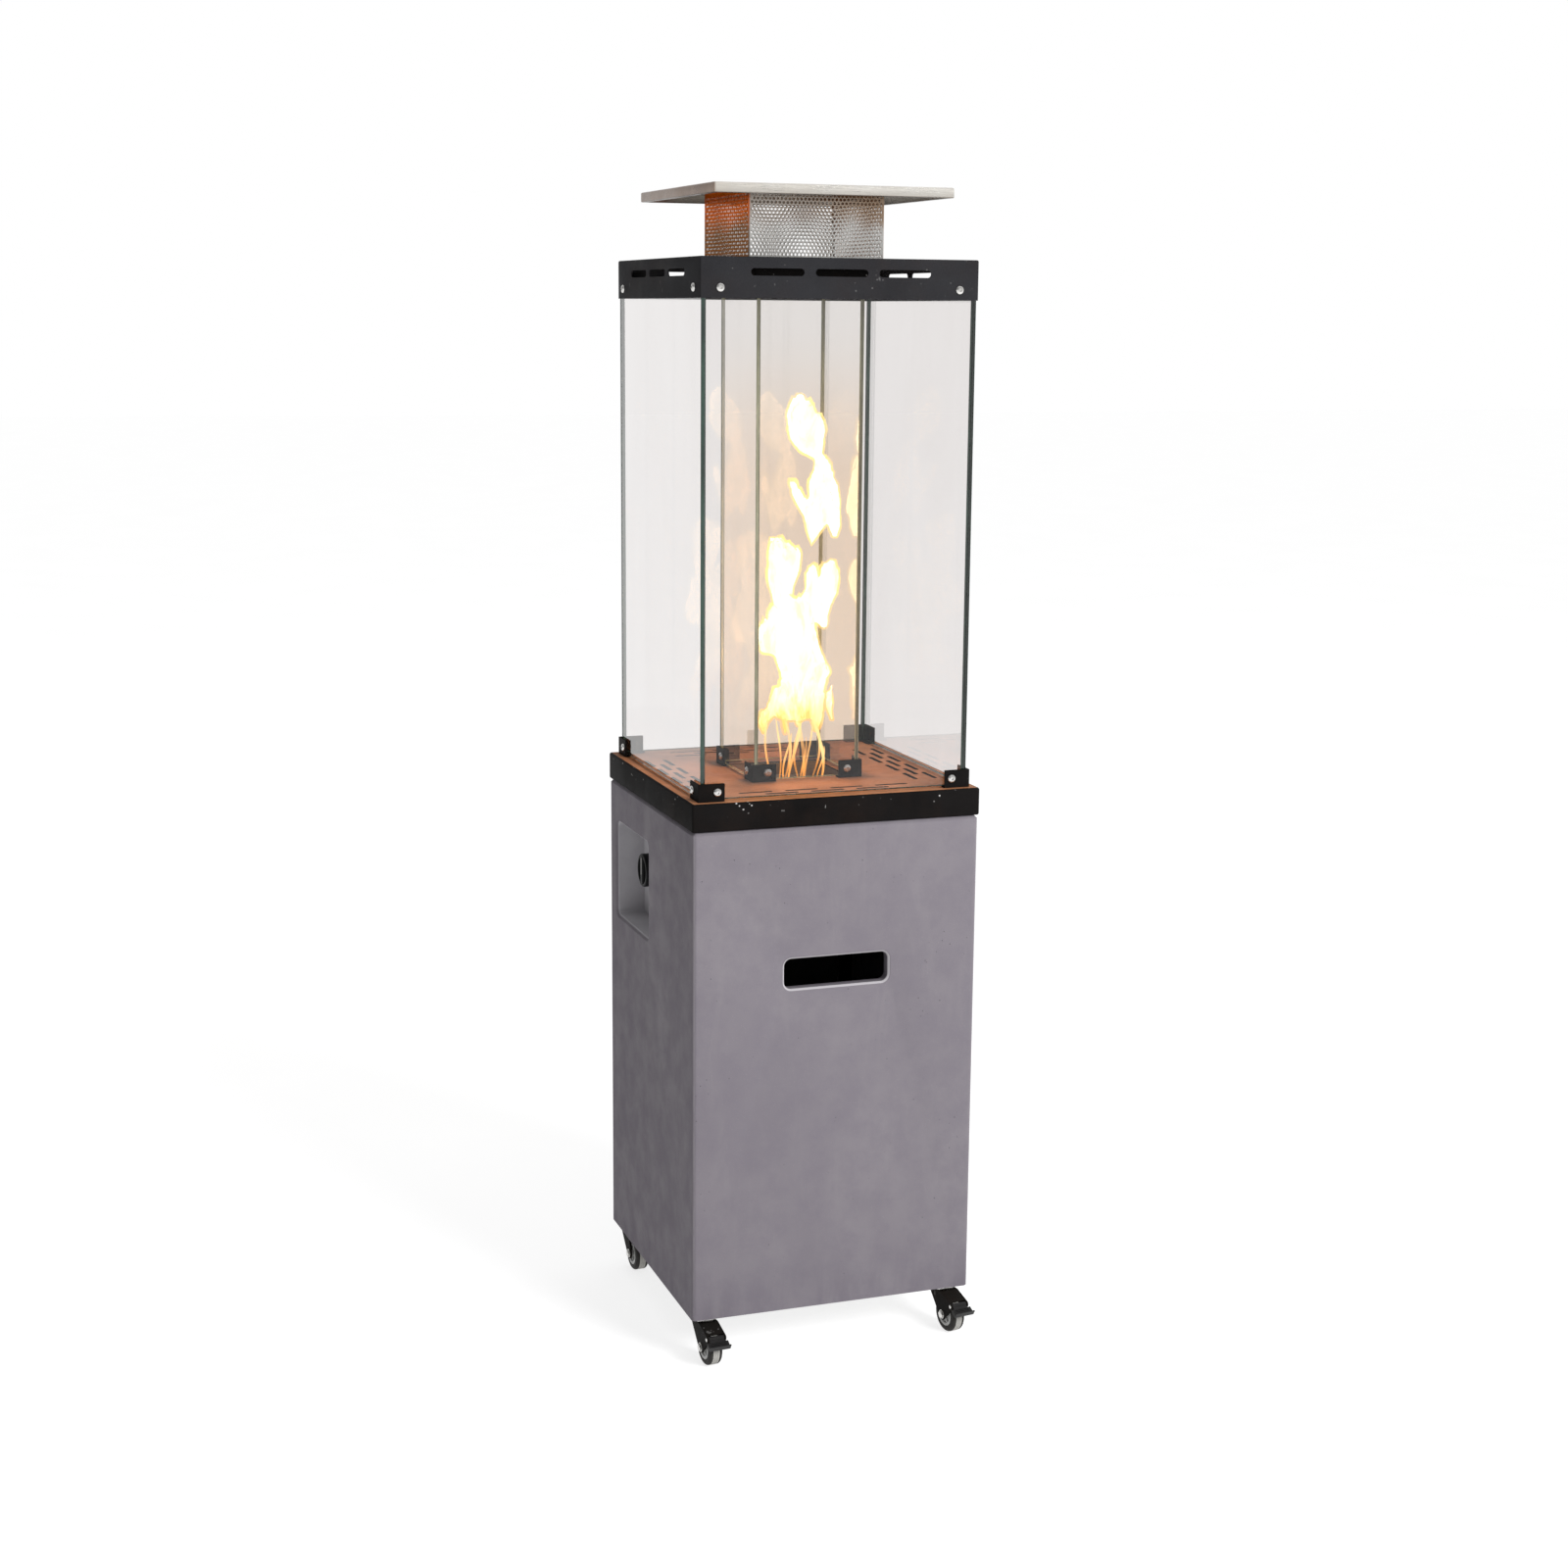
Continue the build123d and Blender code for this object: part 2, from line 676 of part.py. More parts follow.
# Tilt switch on the inside of the front wall
with BuildPart() as tilt_switch:
    with BuildSketch(upright(0, base_inner / 2, base_bottom + switch_level)):
        with Locations((switch_offset, 0)):
            Rectangle(switch_width, switch_height)
    extrude(amount=-switch_depth)
    chamfer(tilt_switch.faces().sort_by(Axis.Y)[-1].edges(), switch_chamfer)
save(tilt_switch, "tilt_switch")

# Rear door: folded steel pan with a finger slot, notched round its two hinges
door_face = base_half - door_recess
door_bottom = base_bottom + door_sill + door_gap
door_height = door_opening_height - 2 * door_gap
hinge_jamb = door_opening_width / 2
hinge_x = hinge_jamb - hinge_jamb_offset
hinge_y = door_face - hinge_barrel_radius
hinge_levels = (door_bottom + hinge_end_distance, door_bottom + door_height - hinge_end_distance)
door_free_edge = hinge_jamb - door_gap
door_hinge_edge = hinge_x - hinge_door_offset
door_width = door_free_edge + door_hinge_edge
door_shift = (door_free_edge - door_hinge_edge) / 2
with BuildPart() as rear_door:
    with BuildSketch(upright(180, door_face, door_bottom)):
        with Locations((door_shift, 0)):
            Rectangle(door_width, door_height, align=(Align.CENTER, Align.MIN))
    extrude(amount=-(door_sheet + door_flange))
    with BuildSketch(upright(180, door_face - door_sheet, door_bottom + door_sheet)):
        with Locations((door_shift, 0)):
            inner_size = (door_width - 2 * door_sheet, door_height - 2 * door_sheet)
            Rectangle(*inner_size, align=(Align.CENTER, Align.MIN))
    extrude(amount=-door_flange, mode=Mode.SUBTRACT)
    for hinge_level in hinge_levels:
        with BuildSketch(upright(180, door_face, hinge_level)):
            with Locations((-door_hinge_edge, 0)):
                Rectangle(2 * hinge_notch, hinge_height + 2 * door_gap)
        extrude(amount=-(door_sheet + door_flange), mode=Mode.SUBTRACT)
    with BuildSketch(upright(180, door_face, door_bottom + door_height / 2)):
        with Locations((door_free_edge - door_slot_inset, 0)):
            SlotOverall(door_slot_length, door_slot_width, rotation=90)
    extrude(amount=-door_sheet, mode=Mode.SUBTRACT)
save(rear_door, "rear_door")

# Lift-off hinge leaves on the jamb: each has the lower knuckle, and a pin that stands up from it
with BuildPart() as hinge_leaves_fixed:
    for hinge_level in hinge_levels:
        with BuildSketch(level(hinge_level - hinge_height / 2)):
            with Locations((hinge_jamb, hinge_y)):
                Rectangle(hinge_sheet, hinge_leaf_depth, align=Align.MAX)
            with Locations((hinge_x, hinge_y)):
                RegularPolygon(hinge_barrel_radius, hinge_barrel_sides)
        extrude(amount=hinge_height / 2 - hinge_knuckle_gap)
        with BuildSketch(level(hinge_level - hinge_knuckle_gap)):
            with Locations((hinge_x, hinge_y)):
                Circle(hinge_pin_radius)
        extrude(amount=hinge_height / 2)
save(hinge_leaves_fixed, "hinge_leaves_fixed")

# Hinge leaves on the inside of the door: each has the upper knuckle, bored for the pin
with BuildPart() as hinge_leaves_door:
    for hinge_level in hinge_levels:
        with BuildSketch(level(hinge_level)):
            with Locations((hinge_x, hinge_y)):
                leaf_sheet = hinge_barrel_radius - door_sheet
                Rectangle(hinge_door_leaf, leaf_sheet, align=(Align.MAX, Align.MIN))
                RegularPolygon(hinge_barrel_radius, hinge_barrel_sides)
                Circle(hinge_pin_radius + running_clearance, mode=Mode.SUBTRACT)
        extrude(amount=hinge_height / 2)
save(hinge_leaves_door, "hinge_leaves_door")

# Magnetic catch behind the jamb on the door's free side
with BuildPart() as door_catch:
    with BuildSketch(upright(180, base_inner / 2, door_bottom + door_height / 2)):
        with Locations((hinge_jamb - catch_reach, 0)):
            Rectangle(catch_width, catch_height, align=(Align.MIN, Align.CENTER))
    extrude(amount=-catch_depth)
    with BuildSketch(upright(180, base_inner / 2, door_bottom + door_height / 2)):
        with Locations((hinge_jamb - catch_reach, 0)):
            Rectangle(catch_reach - seat_clearance, catch_height, align=(Align.MIN, Align.CENTER))
    extrude(amount=door_face - door_sheet - door_flange - seat_clearance - base_inner / 2)
save(door_catch, "door_catch")

# Caster stems: shank through the floor, bearing cup under it, kingpin with a riveted head
kingpin_bottom = fork_crown_bottom - seat_clearance - kingpin_head_height
with BuildPart() as caster_stems:
    with BuildSketch(level(kingpin_bottom)):
        with GridLocations(2 * swivel_offset, 2 * swivel_offset, 2, 2):
            RegularPolygon(kingpin_head_radius, 6)
    extrude(amount=kingpin_head_height)
    with BuildSketch(level(kingpin_bottom)):
        with GridLocations(2 * swivel_offset, 2 * swivel_offset, 2, 2):
            Circle(kingpin_radius)
    extrude(amount=cup_bottom - kingpin_bottom)
    with BuildSketch(level(cup_bottom)):
        with GridLocations(2 * swivel_offset, 2 * swivel_offset, 2, 2):
            RegularPolygon(cup_radius, cup_sides)
    extrude(amount=cup_height)
    with BuildSketch(level(base_bottom)):
        with GridLocations(2 * swivel_offset, 2 * swivel_offset, 2, 2):
            RegularPolygon(stem_shank_radius, 6)
    extrude(amount=stem_shank_length)
save(caster_stems, "caster_stems")


def make_caster(corner_name, x, y, turn, braked):
    """One swivel caster whose wheel trails to the front, turned from -Y towards +X."""
    angle = radians(turn)
    forward = (sin(angle), -cos(angle), 0)
    side = Plane(origin=(x, y, 0), x_dir=forward, z_dir=(-cos(angle), -sin(angle), 0))
    axle_place = (caster_trail, axle_level)
    pivot_radius = wheel_radius + pedal_tyre_gap + pedal_hub_radius
    pivot_forward = caster_trail + pivot_radius * cos(radians(pedal_pivot_angle))
    pivot_level = axle_level + pivot_radius * sin(radians(pedal_pivot_angle))
    pivot_place = (pivot_forward, pivot_level)
    fork_width = fork_gap + 2 * fork_sheet

    with BuildPart() as fork:
        with BuildSketch(side):
            with Locations(axle_place):
                RegularPolygon(fork_boss_radius, fork_boss_sides)
            with Locations((0, fork_crown_top)):
                Rectangle(fork_crown_length, fork_crown, align=(Align.CENTER, Align.MAX))
            if braked:
                with Locations(pivot_place):
                    RegularPolygon(pedal_boss_radius, fork_boss_sides)
            make_hull()
        extrude(amount=fork_width / 2, both=True)
        with BuildSketch(side):
            with Locations((0, fork_crown_bottom)):
                Rectangle(4 * wheel_radius, 2 * wheel_radius, align=(Align.CENTER, Align.MAX))
        extrude(amount=fork_gap / 2, both=True, mode=Mode.SUBTRACT)
        with BuildSketch(Plane(origin=(x, y, fork_crown_bottom))):
            Circle(kingpin_radius + running_clearance)
        extrude(amount=fork_crown, mode=Mode.SUBTRACT)
        with BuildSketch(side):
            with Locations(axle_place):
                Circle(axle_radius)
            if braked:
                with Locations(pivot_place):
                    RegularPolygon(pedal_pin_radius, pedal_hub_sides)
        extrude(amount=fork_gap / 2, both=True)
        for outward in (-1, 1):
            with BuildSketch(side.offset(outward * fork_width / 2)):
                with Locations(axle_place):
                    RegularPolygon(axle_head_radius, 6)
            extrude(amount=outward * axle_head_height)
    save(fork, f"fork_{corner_name}")

    with BuildPart() as hub:
        with BuildSketch(side):
            with Locations(axle_place):
                RegularPolygon(hub_radius, hub_rim_sides)
                Circle(axle_radius + running_clearance, mode=Mode.SUBTRACT)
        extrude(amount=hub_width / 2, both=True)
    save(hub, f"hub_{corner_name}")

    with BuildPart() as tyre:
        with BuildSketch(side):
            with Locations(axle_place):
                Circle(wheel_radius)
                RegularPolygon(hub_radius + running_clearance, hub_rim_sides, mode=Mode.SUBTRACT)
        extrude(amount=tyre_width / 2, both=True)
    save(tyre, f"tyre_{corner_name}")

    if braked:
        slope = radians(pedal_slope)
        pedal_direction = (forward[0] * cos(slope), forward[1] * cos(slope), -sin(slope))
        pivot_point = (x + pivot_forward * forward[0], y + pivot_forward * forward[1], pivot_level)
        pedal_plane = Plane(origin=pivot_point, x_dir=pedal_direction, z_dir=side.z_dir)
        with BuildPart() as pedal:
            with BuildSketch(pedal_plane):
                RegularPolygon(pedal_hub_radius, pedal_hub_sides)
                Rectangle(pedal_reach, pedal_sheet, align=(Align.MIN, Align.CENTER))
            extrude(amount=fork_gap / 2 - seat_clearance, both=True)
            with BuildSketch(pedal_plane):
                with Locations((pedal_reach, 0)):
                    tread = pedal_reach - pedal_boss_radius - pedal_tread_gap
                    Rectangle(tread, pedal_sheet, align=(Align.MAX, Align.CENTER))
                with Locations((pedal_reach, -pedal_sheet / 2)):
                    Rectangle(pedal_sheet / 2, pedal_sheet + pedal_lip, align=(Align.MIN, Align.MIN))
            extrude(amount=pedal_width / 2, both=True)
            with BuildSketch(pedal_plane):
                Circle(pedal_pin_radius + running_clearance)
            extrude(amount=fork_gap / 2, both=True, mode=Mode.SUBTRACT)
        save(pedal, f"brake_pedal_{corner_name}")


make_caster("front_left", -swivel_offset, -swivel_offset, front_left_turn, braked=True)
make_caster("front_right", swivel_offset, -swivel_offset, front_right_turn, braked=True)
make_caster("rear_left", -swivel_offset, swivel_offset, rear_left_turn, braked=False)
make_caster("rear_right", swivel_offset, swivel_offset, rear_right_turn, braked=False)
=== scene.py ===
import json
from math import asin, atan2, cos, dist, pi, radians, sin

import bmesh
import bpy
from mathutils import Matrix, Vector, noise


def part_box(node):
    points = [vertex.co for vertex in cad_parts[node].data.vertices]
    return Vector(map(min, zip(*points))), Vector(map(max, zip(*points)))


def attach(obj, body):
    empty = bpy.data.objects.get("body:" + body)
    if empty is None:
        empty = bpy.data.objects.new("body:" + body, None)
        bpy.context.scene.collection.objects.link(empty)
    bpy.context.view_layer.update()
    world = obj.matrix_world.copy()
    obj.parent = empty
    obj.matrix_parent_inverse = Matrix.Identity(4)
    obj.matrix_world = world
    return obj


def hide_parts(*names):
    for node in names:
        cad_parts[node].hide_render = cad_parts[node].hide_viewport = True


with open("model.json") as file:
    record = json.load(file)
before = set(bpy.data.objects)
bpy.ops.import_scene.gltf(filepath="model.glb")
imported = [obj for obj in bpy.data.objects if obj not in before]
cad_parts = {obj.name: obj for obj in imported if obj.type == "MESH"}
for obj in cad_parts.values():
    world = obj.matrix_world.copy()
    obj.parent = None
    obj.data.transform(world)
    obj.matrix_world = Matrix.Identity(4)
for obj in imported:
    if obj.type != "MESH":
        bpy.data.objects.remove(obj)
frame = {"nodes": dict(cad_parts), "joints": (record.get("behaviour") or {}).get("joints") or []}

scene = bpy.context.scene
cad_nodes = frame["nodes"]
joint_at = {j["name"]: Vector(j["pos_m"]) for j in frame["joints"] if "pos_m" in j}
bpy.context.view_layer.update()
MM = 0.001
MILLI = Matrix.Scale(MM, 4)
UP = Vector((0, 0, 1))
WHITE = (1.0, 1.0, 1.0, 1.0)
QUARTERS = (0, 90, 180, 270)
CORNERS = ("front_left", "front_right", "rear_left", "rear_right")
SAME_POINT = 1e-7
WELD = 1e-6


def mm(*sizes):
    return [size * MM for size in sizes]


# Procedural finishes

class Nodes:
    """Shorthand for adding nodes to a tree."""

    def __init__(self, tree):
        self.nodes = tree.nodes
        self.links = tree.links

    def feed(self, socket, value):
        if isinstance(value, bpy.types.NodeSocket):
            self.links.new(value, socket)
        else:
            socket.default_value = value

    def add(self, kind, inputs, **settings):
        made = self.nodes.new("ShaderNode" + kind)
        for label, value in settings.items():
            setattr(made, label, value)
        for label, value in inputs.items():
            self.feed(made.inputs[label], value)
        return made

    def calc(self, operation, a, b=0.0):
        return self.add("Math", {0: a, 1: b}, operation=operation).outputs[0]

    def times(self, first, *others):
        """Product of masks."""
        for other in others:
            first = self.calc("MULTIPLY", first, other)
        return first

    def span(self, value, low, high, start=0.0, end=1.0):
        """value from low..high carried onto start..end and held there."""
        inputs = {"Value": value, "From Min": low, "From Max": high, "To Min": start, "To Max": end}
        return self.add("MapRange", inputs, interpolation_type="SMOOTHSTEP").outputs["Result"]


class Finish(Nodes):
    """A material whose colour, roughness and relief come from patterns in the object's own space."""

    def __init__(self, name, **sockets):
        self.name = name
        self.material = bpy.data.materials.new(name)
        self.material.use_nodes = True
        super().__init__(self.material.node_tree)
        self.shader = self.nodes["Principled BSDF"]
        self.place = self.nodes.new("ShaderNodeTexCoord").outputs["Object"]
        self.colour = None
        for label, value in sockets.items():
            self.set(label.replace("_", " ").title().replace("Ior", "IOR"), value)

    def set(self, label, value):
        self.feed(self.shader.inputs[label], value)

    def replace_shader(self, surface):
        self.nodes.remove(self.shader)
        self.links.new(surface, self.nodes["Material Output"].inputs["Surface"])

    def grain(self, scale, detail=4.0, rough=0.55, stretch=None, warp=0.0):
        """Cloudy noise from 0 to 1; stretch squeezes it along the axes."""
        place = self.place
        if stretch:
            place = self.add("Mapping", {"Vector": place, "Scale": stretch}).outputs["Vector"]
        inputs = {"Vector": place, "Scale": scale, "Detail": detail, "Roughness": rough, "Distortion": warp}
        return self.add("TexNoise", inputs).outputs["Fac"]

    def cells(self, scale):
        """Distance to scattered points, for pits and chips."""
        return self.add("TexVoronoi", {"Vector": self.place, "Scale": scale}).outputs["Distance"]

    def axis(self, letter):
        return self.add("SeparateXYZ", {"Vector": self.place}).outputs[letter]

    def from_middle(self, letter):
        return self.calc("ABSOLUTE", self.axis(letter))

    def along(self, letter, low, high, start=0.0, end=1.0):
        """span of the place along one axis."""
        return self.span(self.axis(letter), low, high, start, end)

    def ramp(self, value, *stops):
        made = self.add("ValToRGB", {"Fac": value})
        elements = made.color_ramp.elements
        while len(elements) < len(stops):
            elements.new(1.0)
        for element, (position, colour) in zip(elements, stops):
            element.position = position
            element.color = (*colour, 1.0)
        return made.outputs["Color"]

    def blend(self, factor, a, b):
        made = self.add("Mix", {0: factor}, data_type="RGBA")
        for socket, value in ((made.inputs[6], a), (made.inputs[7], b)):
            self.feed(socket, value if isinstance(value, bpy.types.NodeSocket) else (*value, 1.0))
        return made.outputs[2]

    def over(self, mask, colour):
        """Lays a colour over the finish's own."""
        self.colour = self.blend(mask, self.colour, colour)

    def relief(self, height, depth, strength):
        inputs = {"Height": height, "Distance": depth, "Strength": strength}
        self.set("Normal", self.add("Bump", inputs).outputs["Normal"])


def cast_finish():
    """Purplish grey cement: clouds, trowel marks, pinholes, a painted highlight that makes the corners and the
    slot rim pale, paler in the knob pocket, darker towards the foot.
    """
    f = Finish("cast_base", specular_ior_level=0.03)
    low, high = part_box("base_shell")
    half = high.x
    cloud = f.grain(4.5, 5.0, 0.6, (1.0, 1.0, 0.7), 0.6)
    mottle = f.grain(26.0, 6.0, 0.65)
    trowel = f.grain(9.0, 4.0, 0.6, (2.2, 2.2, 0.5), 0.8)
    speck = f.grain(520.0, 2.0, 0.7)
    f.colour = f.ramp(cloud, (0.3, (0.136, 0.124, 0.141)), (0.7, (0.164, 0.151, 0.166)))
    f.over(f.span(mottle, 0.35, 0.7, 0.0, 0.55), (0.128, 0.116, 0.136))
    f.over(f.span(trowel, 0.52, 0.78, 0.0, 0.35), (0.185, 0.172, 0.182))
    f.over(f.span(speck, 0.58, 0.75, 0.0, 0.4), (0.215, 0.2, 0.215))
    pits = f.times(f.span(f.cells(95.0), 0.05, 0.11, 1.0, 0.0), f.span(f.grain(14.0), 0.52, 0.62))
    f.over(f.times(pits, 0.6), (0.05, 0.045, 0.05))

    # Painted highlight: paler cement along the vertical corners, where the edges catch the light.
    highlight_start, highlight_full = half - 3.5 * MM, half - 1 * MM
    near_x, near_y = (f.span(f.from_middle(letter), highlight_start, highlight_full) for letter in "XY")
    f.over(f.times(near_x, near_y, f.span(mottle, 0.3, 0.6, 0.2, 0.8)), (0.25, 0.235, 0.25))

    # Painted highlight: a pale line on the chamfer round the hand slot.
    slot_reach, slot_low, slot_high, slot_fade = mm(90, 400, 640, 20)
    rim = f.times(
        f.along("Y", -half + 0.3 * MM, -half + 1 * MM), f.along("Y", -half + 3 * MM, -half + 4 * MM, 1.0, 0.0),
        f.span(f.from_middle("X"), slot_reach, slot_reach + slot_fade / 2, 0.75, 0.0),
        f.along("Z", slot_high, slot_high + slot_fade, 1.0, 0.0), f.along("Z", slot_low, slot_low + slot_fade))
    f.over(rim, (0.4, 0.385, 0.4))

    knob_at = (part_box("control_knob")[0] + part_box("control_knob")[1]) / 2
    pocket_front, pocket_back, pocket_half, pocket_above, soft = mm(3, 44, 83, 60, 1)
    pocket = f.span(mottle, 0.3, 0.7, 0.8, 1.0)
    for letter, start, end in (("X", -half + pocket_front, -half + pocket_back),
                               ("Y", knob_at.y - pocket_half, knob_at.y + pocket_half),
                               ("Z", knob_at.z - pocket_half, knob_at.z + pocket_above)):
        pocket = f.times(pocket, f.along(letter, start - soft, start + soft),
                         f.along(letter, end - soft, end + soft, 1.0, 0.0))
    f.over(pocket, (0.38, 0.37, 0.39))

    # Darker towards the foot.
    darker_foot_height = 90 * MM
    foot = f.times(f.along("Z", low.z, low.z + darker_foot_height, 0.55, 0.0), f.span(trowel, 0.35, 0.7))
    f.over(foot, (0.1, 0.088, 0.11))
    f.set("Base Color", f.colour)
    f.set("Roughness", f.span(mottle, 0.3, 0.7, 0.52, 0.74))
    height = f.calc("ADD", f.times(speck, 0.25), f.calc("ADD", mottle, f.times(pits, -1.5)))
    f.relief(height, 0.9 * MM, 0.45)
    return f


def painted_finish(name, dark, light, rough, chips, rust, top=None):
    """Textured paint on steel: orange peel with painted highlight specks, cloudy tone, warm stains and bare
    chips, only near top if given.

    rust is a colour and how strongly it shows."""
    f = Finish(name, specular_ior_level=0.012)
    cloud = f.grain(11.0, 5.0, 0.6)
    fine = f.grain(900.0, 2.0, 0.6)
    f.colour = f.ramp(cloud, (0.3, dark), (0.72, light))
    # Painted highlight specks on the orange peel, brighter than the paint's lightest tone.
    f.over(f.span(fine, 0.5, 0.75, 0.0, 0.35), tuple(1.8 * c for c in light))
    stain, share = rust
    f.over(f.times(f.span(f.grain(5.0, 5.0, 0.7), 0.45, 0.75), share), stain)
    scratch = f.span(f.grain(75.0, 3.0, 0.6, (1.0, 1.0, 0.35)), 0.69, 0.72)
    spots = f.times(f.span(f.cells(130.0), 0.12, 0.18, 1.0, 0.0), f.span(f.grain(22.0), 0.54, 0.62))
    wear = f.calc("MAXIMUM", scratch, spots)
    if top:
        wear = f.times(wear, f.along("Z", top - 20 * MM, top - 5 * MM))
    f.over(f.times(wear, chips), (0.42, 0.41, 0.4))
    f.set("Base Color", f.colour)
    f.set("Roughness", f.span(cloud, 0.3, 0.7, rough - 0.07, rough + 0.08))
    f.relief(fine, 0.5 * MM, 0.5)
    return f


def metal_finish(name, colour, rough, along, tint=None, bare=1.0):
    """Brushed metal: fine lines along one axis, patchy gloss and an optional tint by place."""
    f = Finish(name, metallic=bare)
    squeeze = {"x": (0.03, 1.0, 1.0), "z": (1.0, 1.0, 0.03)}[along]
    lines = f.grain(900.0, 3.0, 0.65, squeeze)
    patch = f.grain(18.0, 4.0, 0.6)
    dull = tuple(0.78 * c for c in colour)
    f.colour = f.blend(f.span(lines, 0.35, 0.7), dull, colour)
    f.over(f.span(patch, 0.45, 0.75, 0.0, 0.3), dull)
    if tint:
        tint(f)
    f.set("Base Color", f.colour)
    wear = f.calc("ADD", f.span(lines, 0.3, 0.7, -0.5, 0.5), f.span(patch, 0.3, 0.7, -0.3, 0.3))
    f.set("Roughness", f.calc("ADD", f.times(wear, 0.2), rough))
    f.relief(lines, 0.12 * MM, 0.35)
    return f


def plastic_finish(name, dark, light, rough, mould=0.3 * MM, gloss=0.2):
    """Moulded plastic or rubber: faint cloud, fine spark-eroded grain and rubbed spots."""
    f = Finish(name, specular_ior_level=gloss)
    cloud = f.grain(60.0, 4.0, 0.6)
    f.set("Base Color", f.ramp(cloud, (0.3, dark), (0.72, light)))
    f.set("Roughness", f.span(cloud, 0.3, 0.7, rough - 0.1, rough + 0.1))
    f.relief(f.grain(1600.0, 2.0, 0.6), mould, 0.4)
    return f


def pan_finish():
    """Heat-browned steel plate: copper brown, mottled and sooty round the burner."""
    f = Finish("pan_plate", metallic=0.2, specular_ior_level=0.08)
    cloud = f.grain(9.0, 6.0, 0.65, None, 0.5)
    fine = f.grain(240.0, 3.0, 0.7)
    rubbed = f.grain(42.0, 5.0, 0.7)
    browns = ((0.28, (0.24, 0.1, 0.045)), (0.55, (0.37, 0.165, 0.08)), (0.78, (0.46, 0.22, 0.115)))
    f.colour = f.ramp(cloud, *browns)
    f.over(f.span(rubbed, 0.5, 0.72, 0.0, 0.4), (0.23, 0.12, 0.075))
    f.over(f.span(fine, 0.55, 0.75, 0.0, 0.4), (0.52, 0.28, 0.16))
    soot_start, soot_end = mm(66, 120)
    reach = f.calc("MAXIMUM", f.from_middle("X"), f.from_middle("Y"))
    soot = f.times(f.span(reach, soot_start, soot_end, 0.55, 0.0), f.span(cloud, 0.25, 0.65, 0.4, 1.0))
    f.over(soot, (0.05, 0.034, 0.026))
    f.set("Base Color", f.colour)
    f.set("Roughness", f.span(rubbed, 0.3, 0.7, 0.55, 0.75))
    f.relief(f.calc("ADD", fine, rubbed), 0.4 * MM, 0.4)
    return f


def glass_finish(name, clear, smear, upper=None):
    """Clear pane: straight view through it, a gloss that grows towards grazing, and faint wiped smears.

    upper is the tint that a pane round the flame has above the flame; lower down, the pane's warm tint is
    painted glow of the flame."""
    f = Finish(name)
    wiped = f.grain(7.0, 5.0, 0.6, (1.0, 1.0, 0.25), 0.8)
    tint = f.ramp(wiped, (0.35, clear), (0.8, smear))
    # Painted flame glow: a warm tint low on the pane, near clear above the flame.
    if upper:
        low, high = (corner.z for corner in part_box("inner_glass_front"))
        tint = f.blend(f.along("Z", low + 0.55 * (high - low), low + 0.9 * (high - low)), tint, upper)
    through = f.add("BsdfTransparent", {"Color": tint})
    gloss = f.add("BsdfGlossy", {"Color": WHITE, "Roughness": 0.015})
    edge_on = f.calc("POWER", f.add("LayerWeight", {"Blend": 0.5}).outputs["Facing"], 3.5)
    share = f.calc("ADD", f.times(edge_on, 0.85), 0.04)
    f.replace_shader(f.add("MixShader", {0: share, 1: through.outputs[0], 2: gloss.outputs[0]}).outputs[0])
    return f


def glass_edge_finish(name, deep, pale):
    """Ground pane edge: bottle green with a milky, slightly wavy grind."""
    f = Finish(name, specular_ior_level=0.6)
    wave = f.grain(60.0, 4.0, 0.6, (1.0, 1.0, 0.2))
    f.set("Base Color", f.ramp(wave, (0.35, deep), (0.75, pale)))
    f.set("Roughness", f.span(wave, 0.3, 0.7, 0.12, 0.34))
    f.relief(wave, 0.3 * MM, 0.3)
    return f


def flame_finish(name, cool, hot, strength, least, most, low=0.8, high=0.93):
    """Glowing gas: colour and thinness follow a rising pattern, cooler below the level high down to low."""
    f = Finish(name)
    lick = f.grain(42.0, 4.0, 0.6, (1.0, 1.0, 0.3), 0.5)
    heat = f.calc("ADD", lick, f.along("Z", low, high, -0.22, 0.2))
    glow = f.add("Emission", {"Color": f.ramp(heat, (0.3, cool), (0.62, hot)), "Strength": strength})
    surface = glow.outputs[0]
    if most < 1.0:
        share = f.span(lick, 0.32, 0.68, least, most)
        clear = f.add("BsdfTransparent", {"Color": WHITE})
        surface = f.add("MixShader", {0: share, 1: clear.outputs[0], 2: surface}).outputs[0]
    f.replace_shader(surface)
    return f


def guard_heat_and_shade(f):
    """Flue guard's colours: straw and bronze at the top and over the right half, partly heat colour and partly
    painted shade under the cap; copper red on the left face.
    """
    low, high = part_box("flue_guard")
    cloud = f.grain(16.0, 4.0, 0.6)
    climb = f.along("Z", low.z + 20 * MM, high.z - 14 * MM)
    rise = f.calc("ADD", climb, f.span(cloud, 0.3, 0.7, -0.25, 0.25))
    # Partly heat colour, partly painted shade: darker straw towards the cap and over the right half.
    straw_and_shade = f.times(f.span(rise, 0.3, 0.9), f.along("X", low.x + 30 * MM, high.x, 0.35, 0.9))
    f.over(straw_and_shade, (0.34, 0.23, 0.15))
    reds = ((0.3, (0.17, 0.095, 0.06)), (0.55, (0.36, 0.11, 0.045)), (0.85, (0.57, 0.12, 0.03)))
    f.over(f.along("X", low.x, low.x + 3 * MM, 1.0, 0.0), f.ramp(rise, *reds))
    f.set("Specular Tint", (0.8, 0.5, 0.36, 1.0))


